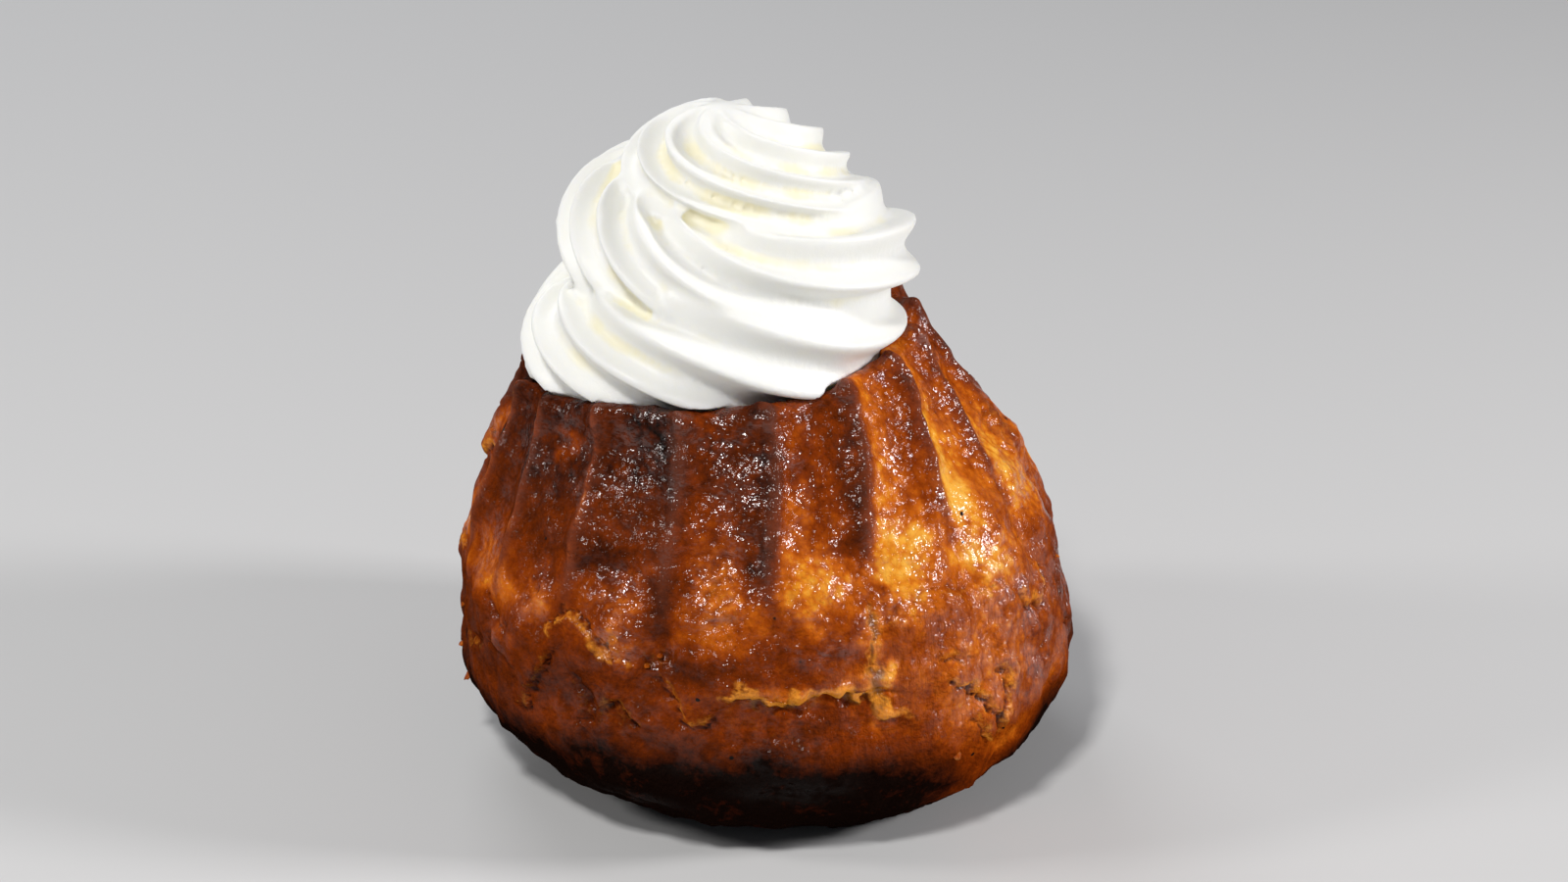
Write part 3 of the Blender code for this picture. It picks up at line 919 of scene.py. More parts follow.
@dataclass
class Cake:
    """The cake with its crust's fine relief.

    Browning runs from 0, yellow, to 1, nearly black. Places on the crust are azimuths in degrees and
    heights in millimetres, and so are reaches there. A pair of browns is that of the side away from
    the lit one and that of the lit one, whose lighter browns are partly the crust's own colour and
    partly painted light, and a pair of places is where a change starts and ends. The dark edge gives
    heights for azimuths, and each of the scoops the browning of its two edges.
    """

    form: CakeForm = field(default_factory=CakeForm)
    columns: int = 510
    rows: tuple[int, ...] = (4, 54, 52, 46, 16, 8, 10)
    seed: int = 11
    lit_side: float = -35.0
    shiny_side: float = -70.0
    belly_browns: Pair = (0.74, 0.49)
    band_browns: Pair = (0.59, 0.44)
    band_from: Pair = (27.0, 32.0)
    scoops_from: Pair = (34.0, 39.0)
    top_browns: Pair = (0.16, 0.02)
    top_from: Pair = (41.0, 50.0)
    crest_brown: float = 0.70
    crest_width: float = 2.1
    # Painted highlight: a thin lighter line on the left ridges' crests stands in for the glint on them.
    crest_highlight_brown: float = -0.30
    crest_highlight_width: float = 0.8
    crest_highlight_until: float = -115.0
    crest_highlight_from: Pair = (35.0, 38.0)
    foot_brown: float = 1.05
    foot_edge: Pair = (3.0, -5.0)
    dish_brown: float = 0.80
    fin_height: float = 0.15
    fin_width: float = 0.95
    fin_radius: float = 27.0
    pucker: float = 0.17
    soft: Pair = (0.60, 0.42)
    bubble_depth: float = 0.55
    crumb_relief: float = 1.3
    pore_depth: float = 0.9
    fibre_relief: Pair = (0.20, 0.16)
    fibre_shares: Pair = (0.15, 1.0)
    fibres_from: Pair = (9.0, 14.0)
    fibres_until: Pair = (33.0, 27.0)
    pore_sizes: Triple = (2.4 * MM, 2.4 * MM, 1.7 * MM)
    bubble_sizes: Triple = (1.9 * MM, 1.9 * MM, 1.4 * MM)
    crumb_torn: float = 0.62
    # Painted shade in the crumb's pores: how dark they are made.
    pore_shade: float = 0.35
    wet_belly: Pair = (0.05, 0.23)
    wet_belly_from: Pair = (12.0, 18.0)
    wet_shoulder: Pair = (0.35, 0.75)
    wet_shoulder_from: Pair = (35.0, 46.0)
    wet_right: float = 0.34
    wet_right_reach: Pair = (50.0, 20.0)
    wet_skin: float = 0.60
    wet_skin_middle: float = -40.0
    wet_skin_reach: Pair = (22.0, 8.0)
    wet_skin_from: Pair = (12.0, 17.0)
    wet_skin_until: Pair = (32.0, 27.0)
    wet_grainy: float = 0.95
    hidden_side: Pair = (-14.0, 196.0)
    tear_radius: float = 35.0
    tear_edge: Pair = (0.9, 1.4)
    tear_core: Pair = (0.2, 0.55)
    ledge_rise: float = 0.22
    ledge_fall: float = 2.2
    dark_edge: tuple[Pair, ...] = (
        (-180.0, 15.5), (-150.0, 14.5), (-130.0, 15.5), (-110.0, 17.0), (-90.0, 17.4), (-75.0, 16.0),
        (-62.0, 13.8), (-50.0, 10.8), (-40.0, 9.2), (-20.0, 13.0), (0.0, 17.0), (40.0, 15.0), (90.0, 15.5),
        (140.0, 16.0), (180.0, 15.5))
    scoop_edges: tuple[Pair, ...] = (
        (0.46, 0.66), (0.40, 0.70), (0.52, 0.72), (0.60, 0.80), (0.50, 0.74), (0.58, 0.70),
        (0.70, 0.82), (0.62, 0.78), (0.70, 0.80), (0.70, 0.74), (0.72, 0.70), (0.64, 0.72),
        (0.56, 0.66), (0.46, 0.68), (0.28, 0.55), (0.20, 0.44), (0.30, 0.48))
    blotches: tuple[Blotch, ...] = tuple(Blotch(*row) for row in (
        (-158.0, 34.5, 6.0, 3.5, -0.20, 0.5), (-148.0, 32.0, 4.0, 2.4, -0.30, 0.2),
        (-86.0, 11.0, 10.0, 2.0, 0.0, 0.12), (-120.0, 7.5, 9.0, 1.6, 0.0, 0.1),
        (-98.0, 28.0, 9.0, 2.2, 0.14, 0.2), (-128.0, 22.0, 9.0, 4.0, 0.10, 0.1),
        (-76.0, 28.0, 5.0, 1.6, 0.02, 0.7), (-40.0, 44.0, 3.0, 5.0, -0.06, 0.3),
        (-145.0, 26.5, 5.0, 2.5, -0.16, 0.3), (-135.0, 33.0, 4.5, 3.2, -0.18, 0.8, 0.5),
        (-137.0, 49.5, 5.0, 1.6, -0.34, 0.2), (-121.0, 39.0, 6.0, 1.6, 0.18, 0.0),
        (-116.0, 34.8, 5.5, 2.8, -0.14, 1.0, 0.5), (-115.5, 30.0, 4.0, 2.6, -0.20, 1.0, 0.7),
        (-94.5, 35.0, 6.5, 3.8, -0.20, 1.0, 0.6), (-95.0, 41.0, 5.0, 2.6, -0.10, 0.5),
        (-106.0, 33.5, 3.4, 4.5, 0.18, 0.1), (-2.0, 39.0, 8.0, 4.0, -0.16, 0.4, 0.6),
        (178.0, 33.5, 9.0, 4.0, -0.12, 0.3), (-76.0, 21.0, 5.0, 2.0, 0.10, 0.0, 0.4),
        (-104.0, 50.5, 22.0, 5.5, 0.10, 0.2), (-86.5, 37.5, 3.2, 2.4, 0.14, 0.1),
        (-86.0, 42.5, 4.5, 5.0, 0.12, 0.2), (-75.5, 35.0, 7.0, 4.0, -0.32, 1.0, 0.3),
        (-78.0, 42.0, 5.0, 3.0, -0.10, 0.4), (-66.5, 41.0, 2.6, 9.0, 0.10, 0.0),
        (-56.0, 34.5, 8.0, 3.2, -0.36, 1.0), (-60.0, 30.5, 4.5, 2.0, -0.26, 0.9),
        (-60.5, 40.0, 2.5, 6.0, -0.14, 0.2), (-38.5, 37.0, 5.5, 7.0, -0.28, 0.7),
        (-33.0, 31.5, 8.0, 3.0, -0.24, 0.7), (-17.0, 36.5, 7.0, 4.5, -0.26, 0.7),
        (-6.0, 33.0, 7.0, 4.0, -0.22, 0.7), (-24.0, 26.0, 5.0, 2.6, -0.10, 0.0),
        (-4.0, 22.0, 11.0, 9.0, 0.18, 0.15), (-8.0, 12.5, 14.0, 6.5, -0.17, 0.0),
        (-44.0, 20.0, 7.0, 6.0, 0.0, 0.0, 0.30), (-46.0, 22.0, 16.0, 6.5, -0.16, 0.0),
        (-67.5, 24.5, 2.0, 7.0, -0.34, 0.5, 0.35), (-81.0, 23.4, 12.0, 1.3, -0.34, 0.5, 0.9),
        (-84.0, 28.0, 13.0, 2.8, 0.08, 0.1), (-86.0, 19.0, 15.0, 3.0, 0.03, 0.1, 0.42),
        (-117.0, 21.0, 13.0, 4.5, 0.03, 0.1, 0.50), (-131.0, 19.0, 7.0, 4.0, -0.03, 0.0, 0.42),
        (-109.0, 28.5, 6.0, 2.4, 0.0, 0.2, 0.5), (-46.0, 6.0, 9.0, 4.5, -0.36, 0.0),
        (14.0, 35.0, 7.0, 4.0, -0.34, 0.9), (31.0, 33.0, 7.0, 4.0, -0.30, 0.8),
        (52.0, 35.0, 6.5, 3.6, -0.36, 1.0), (74.0, 34.0, 7.5, 4.2, -0.28, 0.8),
        (95.0, 35.5, 6.5, 3.4, -0.34, 1.0), (117.0, 34.0, 7.0, 4.0, -0.30, 0.9),
        (139.0, 35.0, 6.0, 3.2, -0.34, 0.9), (160.0, 33.5, 7.0, 4.0, -0.26, 0.7),
        (179.0, 34.0, 6.0, 3.0, -0.30, 0.6), (172.0, 43.5, 5.0, 3.0, -0.42, 0.4),
        (40.0, 22.0, 15.0, 5.0, -0.12, 0.0), (100.0, 21.0, 18.0, 5.0, -0.10, 0.0),
        (150.0, 23.0, 14.0, 4.5, -0.10, 0.0)))
    tears: tuple[Tear, ...] = (
        Tear(((-97.0, 22.0), (-93.5, 24.2), (-91.5, 23.2), (-88.5, 22.0), (-85.5, 21.4), (-82.5, 23.1),
              (-77.0, 23.2), (-72.5, 21.5), (-70.0, 22.0), (-67.0, 19.2), (-61.0, 17.0)),
             width=0.75, depth=0.45, ledge=1.15, pale=1.1, ragged=1.2),
        Tear(((-65.0, 32.5), (-67.0, 28.8), (-68.5, 23.4), (-66.5, 19.5)),
             width=1.0, depth=0.50, ledge=0.0, side=Side.NEITHER, pale=0.62, ragged=1.1),
        Tear(((-66.0, 28.5), (-63.0, 29.8), (-56.5, 31.2), (-51.5, 31.6), (-40.5, 28.9), (-35.0, 28.8),
              (-30.0, 26.5)), width=0.5, depth=0.35, ledge=0.40, side=Side.BELOW, pale=0.4, ragged=1.0),
        Tear(((-134.0, 28.0), (-128.5, 31.9), (-125.5, 32.8), (-121.0, 32.3), (-118.0, 29.3), (-109.0, 27.0)),
             width=0.45, depth=0.55, ledge=0.85, side=Side.BELOW, pale=0.6, ragged=1.3),
        Tear(((-127.5, 37.0), (-122.0, 38.0), (-115.0, 38.0), (-109.5, 37.0)),
             width=0.6, depth=0.45, ledge=0.45, pale=0.2),
        Tear(((-101.0, 38.5), (-96.0, 39.6), (-90.0, 38.6)),
             width=0.6, depth=0.25, ledge=0.25, pale=0.1, ragged=1.0),
        Tear(((-142.0, 15.9), (-136.0, 21.4), (-132.0, 24.4), (-128.5, 28.0)),
             width=0.5, depth=0.75, ledge=0.8, pale=0.4, ragged=1.0),
        Tear(((-109.0, 26.5), (-105.0, 24.5), (-104.0, 21.5), (-101.0, 20.0), (-97.0, 22.0)),
             width=0.5, depth=0.65, ledge=0.7, pale=0.45, ragged=1.0),
        Tear(((-127.0, 25.0), (-123.0, 22.5), (-124.0, 19.0), (-127.0, 16.0)),
             width=0.45, depth=0.6, ledge=0.6, side=Side.BELOW, pale=0.3, ragged=1.1),
        Tear(((-120.0, 21.0), (-117.0, 22.2), (-114.0, 21.4), (-112.0, 19.0)),
             width=0.45, depth=0.7, ledge=0.7, pale=0.45, ragged=1.0),
        Tear(((-55.0, 21.5), (-53.5, 20.7), (-48.5, 18.9), (-46.0, 16.6), (-43.5, 13.7), (-43.0, 10.6)),
             width=0.5, depth=0.8, ledge=0.8, pale=0.6, ragged=1.0),
        Tear(((-44.5, 20.5), (-39.5, 18.6), (-41.5, 15.8), (-43.5, 13.0)),
             width=0.45, depth=0.6, ledge=0.6, pale=0.6, ragged=0.9),
        Tear(((-56.0, 24.5), (-52.0, 23.4), (-48.5, 23.8)),
             width=0.4, depth=0.5, ledge=0.5, pale=0.5, ragged=0.9),
        Tear(((-50.5, 16.0), (-48.0, 14.6), (-47.0, 12.4)),
             width=0.4, depth=0.5, ledge=0.4, pale=0.6, ragged=0.9),
        Tear(((-39.0, 22.5), (-36.5, 20.0), (-37.5, 17.0)),
             width=0.4, depth=0.4, ledge=0.4, side=Side.BELOW, pale=0.5, ragged=0.9),
        Tear(((-32.0, 27.0), (-28.5, 24.2), (-24.0, 23.4), (-20.0, 24.6), (-18.0, 28.0)),
             width=0.45, depth=0.55, ledge=0.6, pale=0.6, ragged=0.9),
        Tear(((-24.5, 23.0), (-26.0, 19.5), (-28.5, 15.5)),
             width=0.4, depth=0.4, ledge=0.3, pale=0.2, ragged=0.9),
        Tear(((-152.0, 31.0), (-148.0, 28.5), (-143.0, 27.5), (-139.0, 29.0)),
             width=0.5, depth=0.45, ledge=0.5, side=Side.BELOW, pale=0.2, ragged=0.9),
        Tear(((-152.0, 24.0), (-147.0, 25.0), (-143.0, 23.0), (-139.0, 23.0)),
             width=0.5, depth=0.5, ledge=0.4, pale=0.2, ragged=0.9),
        Tear(((168.0, 39.0), (172.0, 41.0), (179.0, 41.5)),
             width=0.6, depth=0.6, ledge=0.7, pale=0.7))
    flakes: tuple[Flake, ...] = (
        Flake(-173.5, 22.5, 1.1, 0.35, 50.0), Flake(-178.0, 15.0, 1.3, 0.25, 60.0),
        Flake(-175.0, 11.5, 1.9, 0.22, 65.0), Flake(-54.5, 12.2, 1.2, 0.18, 40.0),
        Flake(-109.5, 27.5, 0.8, 0.25, 50.0), Flake(-107.0, 28.6, 0.7, 0.25, 40.0),
        Flake(172.0, 43.5, 1.6, 0.25, 50.0))

    def back_tears(self) -> tuple[Tear, ...]:
        """Tears on the sides that the picture hides, drawn at random from a fixed seed.

        Returns:
            The tears.
        """
        chance = random.Random(self.seed)
        tears = []
        azimuth, last = self.hidden_side
        while azimuth < last:
            level = chance.uniform(18.0, 30.0)
            path = [(azimuth, level)]
            for _ in range(chance.randint(3, 6)):
                across, drop = chance.uniform(2.5, 5.0), chance.uniform(-1.8, 1.8)
                path.append((path[-1][0] + across, path[-1][1] + drop))
            tears.append(Tear(tuple(path), width=chance.uniform(0.4, 0.6), depth=chance.uniform(0.35, 0.8),
                              ledge=chance.uniform(0.3, 0.6), side=chance.choice((Side.ABOVE, Side.BELOW)),
                              pale=chance.uniform(0.2, 0.6), ragged=0.9))
            foot = chance.uniform(14.0, 19.0)
            place = azimuth + chance.uniform(2.0, 12.0)
            tears.append(Tear(((place, foot + 5.0), (place + chance.uniform(-3.0, 3.0), foot + 2.0),
                               (place + chance.uniform(-4.0, 4.0), foot - 2.0)),
                              width=0.4, depth=chance.uniform(0.3, 0.7), ledge=0.3, pale=0.2))
            azimuth = path[-1][0] + chance.uniform(4.0, 14.0)
        return tuple(tears)

    def scoop_browning(self, azimuth: Array) -> Array:
        """Browning of the fluted part, which changes over each scoop from one edge to the other.

        Args:
            azimuth: In degrees, from 0 at a ridge.

        Returns:
            The browning.
        """
        place = azimuth * self.form.flutes / TURN
        left, right = np.array(self.scoop_edges)[np.floor(place).astype(int) % self.form.flutes].T
        return mix(left, right, smooth_step(0.15, 0.95, place - np.floor(place)))

    def browning(self, azimuth: Array, height: Array, share: Array, points: Array) -> Array:
        """How far the crust is browned.

        Args:
            azimuth: In degrees.
            height: Height on the upright outline.
            share: Place on the outline.
            points: Place of each vertex.

        Returns:
            A value from 0, yellow, to 1, nearly black.
        """
        form = self.form
        level = height / MM
        near = facing(azimuth, self.lit_side)
        sway = grain(points, 7.0 * MM, 21.0)
        jolt = jolts(points, 3.0, 1.4, 22.0)
        # The side towards lit_side is browned less: partly the crust's own lighter colour, partly painted
        # light.
        brown = mix(mix(*self.belly_browns, near ** 1.5), mix(*self.band_browns, near),
                    smooth_step(*self.band_from, level + 1.5 * sway))
        scoops = (self.scoop_browning(azimuth)
                  + mix(*self.top_browns, near) * smooth_step(*self.top_from, level))
        brown = mix(brown, scoops, smooth_step(*self.scoops_from, level + 1.6 * sway + jolt))
        from_crest = form.from_crest(azimuth)
        ridge_low = form.ridge_end(azimuth) / MM - 1.5 + 1.2 * jolt
        crest = bell(from_crest, self.crest_width) * smooth_step(ridge_low - 1.5, ridge_low + 2.0, level)
        brown = mix(brown, np.maximum(brown, self.crest_brown), crest * (0.66 + 0.4 * jolt))
        # Painted highlight along the left ridges' crests.
        crest_highlight = (bell(from_crest, self.crest_highlight_width) * (azimuth < self.crest_highlight_until)
                * smooth_step(*self.crest_highlight_from, level))
        brown = brown + self.crest_highlight_brown * crest_highlight * (0.7 + jolt)
        dark_from = np.interp(wrap(azimuth), *np.array(self.dark_edge).T) + 1.3 * sway + 0.7 * jolt
        foot = smooth_step(*(dark_from + edge for edge in self.foot_edge), level)
        brown = mix(brown, self.foot_brown, foot)
        for blotch in self.blotches:
            brown = brown + blotch.brown * blotch.share(
                azimuth + 5.0 * jolt + 2.0 * sway, level + 1.6 * sway + 1.2 * jolt)
        in_dish = smooth_step(form.ends[3] + 0.05, form.ends[4] + 0.02, share)
        return mix(brown, self.dish_brown, in_dish)

    def fine_relief(self, azimuth: Array, height: Array, share: Array, points: Array) -> Array:
        """Relief that is too fine for the solid, without the tears.

        Args:
            azimuth: In degrees.
            height: Height on the upright outline.
            share: Place on the outline.
            points: Place of each vertex.

        Returns:
            Relief along the normals, in millimetres.
        """
        form = self.form
        level = height / MM
        base_end, _, _, _, rim_end, _ = form.ends
        on_crust = smooth_step(base_end, base_end + 0.03, share)
        from_crest = form.from_crest(azimuth) * math.radians(1.0) * self.fin_radius
        broken = 0.7 + 0.9 * grain(points, (5.0 * MM, 5.0 * MM, 2.0 * MM), 3.0)
        fin = (self.fin_height * (0.7 + facing(azimuth, self.lit_side) ** 2)
               * form.fluted(azimuth, height) * broken * bell(from_crest, self.fin_width))
        bubbly = 0.7 + 0.7 * smooth_step(42.0, 48.0, level)
        pucker = self.pucker * bubbly * jolts(points, 2.7, 1.35, 1.0, 0.8)
        soft = self.soft[0] * grain(points, 6.0 * MM, 5.0) + self.soft[1] * grain(points, 3.6 * MM, 13.0)
        bubbles = self.bubble_depth * self.most(Skin.GRAINY, azimuth, level) * (
            0.5 - cells(points, self.bubble_sizes, 4.0))
        crumb = self.most(Skin.CRUMBLY, azimuth, level) * (
            self.crumb_relief * grain(points, 1.5 * MM, 15.0) - self.pore_depth * self.pores(points))
        fibrous = (self.fibre_relief[0] * grain(points, (1.3 * MM, 1.3 * MM, 6.0 * MM), 6.0)
                   + self.fibre_relief[1] * grain(points, 1.5 * MM, 16.0)) * smooth_step(34.0, 26.0, level)
        inside = smooth_step(rim_end + 0.03, rim_end - 0.01, share)
        return on_crust * (0.35 + 0.65 * inside) * (fin + pucker + soft + bubbles + crumb + fibrous)

    def most(self, skin: Skin, azimuth: Array, level: Array) -> Array:
        """How grainy or how crumbly the blotches make each place.

        Args:
            skin: Which of the two.
            azimuth: In degrees.
            level: Height on the upright outline, in millimetres.

        Returns:
            A share from 0 to 1.
        """
        most = np.zeros(len(azimuth))
        for blotch in self.blotches:
            strength = blotch.grainy if skin is Skin.GRAINY else blotch.crumbly
            if strength:
                most = np.maximum(most, strength * blotch.share(azimuth, level))
        return most

    def pores(self, points: Array) -> Array:
        """1 in the crumb's scattered pores, 0 between them."""
        return smooth_step(0.42, 0.12, cells(points, self.pore_sizes, 14.0))

    def fibre(self, azimuth: Array, level: Array) -> Array:
        """How far the skin shows upright fibres, most on the right of the belly."""
        around = mix(*self.fibre_shares, facing(azimuth, self.lit_side) ** 7)
        return around * smooth_step(*self.fibres_until, level) * smooth_step(*self.fibres_from, level)

    def wetness(self, azimuth: Array, level: Array, points: Array) -> Array:
        """How much syrup glistens, most on the shoulder and on the grainy patches.

        Args:
            azimuth: In degrees.
            level: Height on the upright outline, in millimetres.
            points: Place of each vertex.

        Returns:
            A share from 0 to 1.
        """
        patchy = 0.55 + 0.8 * grain(points, 4.5 * MM, 31.0)
        near = facing(azimuth, self.shiny_side)
        right = self.wet_right * smooth_step(*self.wet_right_reach, angle_between(azimuth, 0.0))
        wet = (mix(*self.wet_belly, near ** 4) + right) * smooth_step(*self.wet_belly_from, level)
        wet = wet + (mix(*self.wet_shoulder, near ** 2) * patchy
                     * smooth_step(*self.wet_shoulder_from, level))
        skin = smooth_step(*self.wet_skin_reach, angle_between(azimuth, self.wet_skin_middle))
        wet = wet + (self.wet_skin * skin * smooth_step(*self.wet_skin_from, level)
                     * smooth_step(*self.wet_skin_until, level))
        for blotch in self.blotches:
            wet = wet + self.wet_grainy * blotch.grainy * blotch.share(azimuth, level)
        return np.clip(wet, 0.0, 1.0)

    def crest(self, azimuth: Array, height: Array) -> Array:
        """1 on the ridges' crests of the fluted part, falling to 0 beside them; it places the painted sheen.
        """
        return self.form.fluted(azimuth, height) * bell(self.form.from_crest(azimuth), 1.5)

    def build(self) -> bpy.types.Object:
        """Model the cake.

        Returns:
            The cake, with the browning, torn, painted cleft shade, fibre, crest for the painted sheen, and
            wet values on its vertices.
        """
        form = self.form
        mesh, column, row = ball_grid(self.columns, sum(self.rows))
        azimuth = column * TURN / self.columns
        share = np.interp(row, np.cumsum((0, *self.rows)), (0.0, *form.ends, 1.0))
        _, height = form.outline(share)
        level = height / MM
        points = form.points(azimuth, share)
        normals = put_vertices(mesh, points)
        relief = self.fine_relief(azimuth, height, share, points)
        torn, cleft = np.zeros((2, len(points)))
        scale = math.radians(1.0) * self.tear_radius
        sway, jolt = jolts(points, 2.4, 1.1, 7.0), jolts(points, 2.0, 0.9, 9.0)
        for tear in self.tears + self.back_tears():
            away, whole = tear.reach(
                azimuth + tear.ragged * sway / scale, level + tear.ragged * jolt, scale)
            whole = whole * (share < form.ends[4])
            side, width = tear.side.value, tear.width
            stands = 0.5 + 0.5 * np.tanh(away * side / self.ledge_rise) if side else 0.0 * away
            relief = relief + whole * (
                tear.ledge * stands * np.exp(-np.abs(away) / self.ledge_fall)
                - tear.depth * bell(away, width))
            edge, reach = (factor * width for factor in self.tear_edge)
            torn = np.maximum(torn, tear.pale * whole * bell(away - side * edge, reach))
            # Painted shade: darkens the crust along each crack's deep line.
            shift, core = self.tear_core
            cleft = np.maximum(cleft, min(1.0, 1.3 * tear.depth) * whole
                               * bell(away + side * shift, core * width))
        crumbly = self.most(Skin.CRUMBLY, azimuth + 2.0 * sway, level + 1.2 * jolt)
        torn = np.maximum(torn, self.crumb_torn * crumbly)
        # Painted shade in the crumb's pores.
        cleft = np.maximum(cleft, self.pore_shade * self.pores(points) * smooth_step(0.15, 0.45, crumbly))
        places = points + normals * relief[:, None] * MM
        places[:, 2] = np.maximum(places[:, 2], 0.0)
        put_vertices(mesh, places)
        return make_object(mesh, "soaked_cake", {
            "browning": self.browning(azimuth, height, share, points), "torn": torn, "cleft": cleft,
            "fibre": self.fibre(azimuth, level), "crest": self.crest(azimuth, height),
            "wet": self.wetness(azimuth, level, points)})

    def build_flakes(self) -> bpy.types.Object:
        """Model the scales and crumbs that stand off the crust.

        Returns:
            One object with all of them.
        """
        chance = random.Random(self.seed + 1)
        flakes = list(self.flakes)
        for tear in self.back_tears()[::3]:
            azimuth, height = tear.path[1]
            flakes.append(Flake(azimuth, height + 0.5, chance.uniform(0.6, 1.1), 0.2,
                                chance.uniform(30.0, 60.0)))
        whole = bmesh.new()
        for flake in flakes:
            self.add_flake(whole, flake, chance)
        bmesh.ops.recalc_face_normals(whole, faces=whole.faces[:])
        levels = {"browning": 0.50, "torn": 0.35, "cleft": 0.0, "fibre": 0.0, "crest": 0.0, "wet": 0.4}
        return make_object(whole, "crust_flakes", {
            label: np.full(len(whole.verts), level) for label, level in levels.items()})

    def add_flake(self, whole: bmesh.types.BMesh, flake: Flake, chance: random.Random) -> None:
        """Add one flake to the mesh of all.

        Args:
            whole: The mesh.
            flake: Its place and size.
            chance: Source of its unevenness.
        """
        shares = np.linspace(self.form.ends[0], self.form.ends[3], 240)
        heights = self.form.outline(shares)[1]
        share = np.array([np.interp(flake.height * MM, heights, shares)])
        azimuth = np.array([flake.azimuth])
        here = self.form.points(azimuth, share)[0]
        right = self.form.points(azimuth + 0.6, share)[0] - here
        up = self.form.points(azimuth, share + 0.004)[0] - here
        right, up = Vector(right).normalized(), Vector(up).normalized()
        out = right.cross(up).normalized()
        tilt = math.radians(flake.tilt)
        thin = out * math.cos(tilt) + up * math.sin(tilt)
        tall = up * math.cos(tilt) - out * math.sin(tilt)
        ball = bmesh.ops.create_icosphere(whole, subdivisions=2, radius=1.0)["verts"]
        turn = chance.uniform(0.0, TURN)
        middle = Vector(here) + out * 0.12 * flake.size * MM
        for vertex in ball:
            rough = 1.0 + 0.45 * noise.noise(vertex.co * 1.7 + Vector((turn, 0.0, 0.0)))
            place = vertex.co * rough * 0.5 * flake.size * MM
            vertex.co = middle + right * place.x + tall * place.y + thin * place.z * flake.flat

    def dress(self, shape: bpy.types.Object, material: bpy.types.Material) -> None:
        """Give a piece of the cake its finish and put it on the body.

        Args:
            shape: The piece.
            material: Its finish.
        """
        shape.data.materials.append(material)
        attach(shape, BODY)
        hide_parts("cake")


# --- the cream ----------------------------------------------------------------------------------

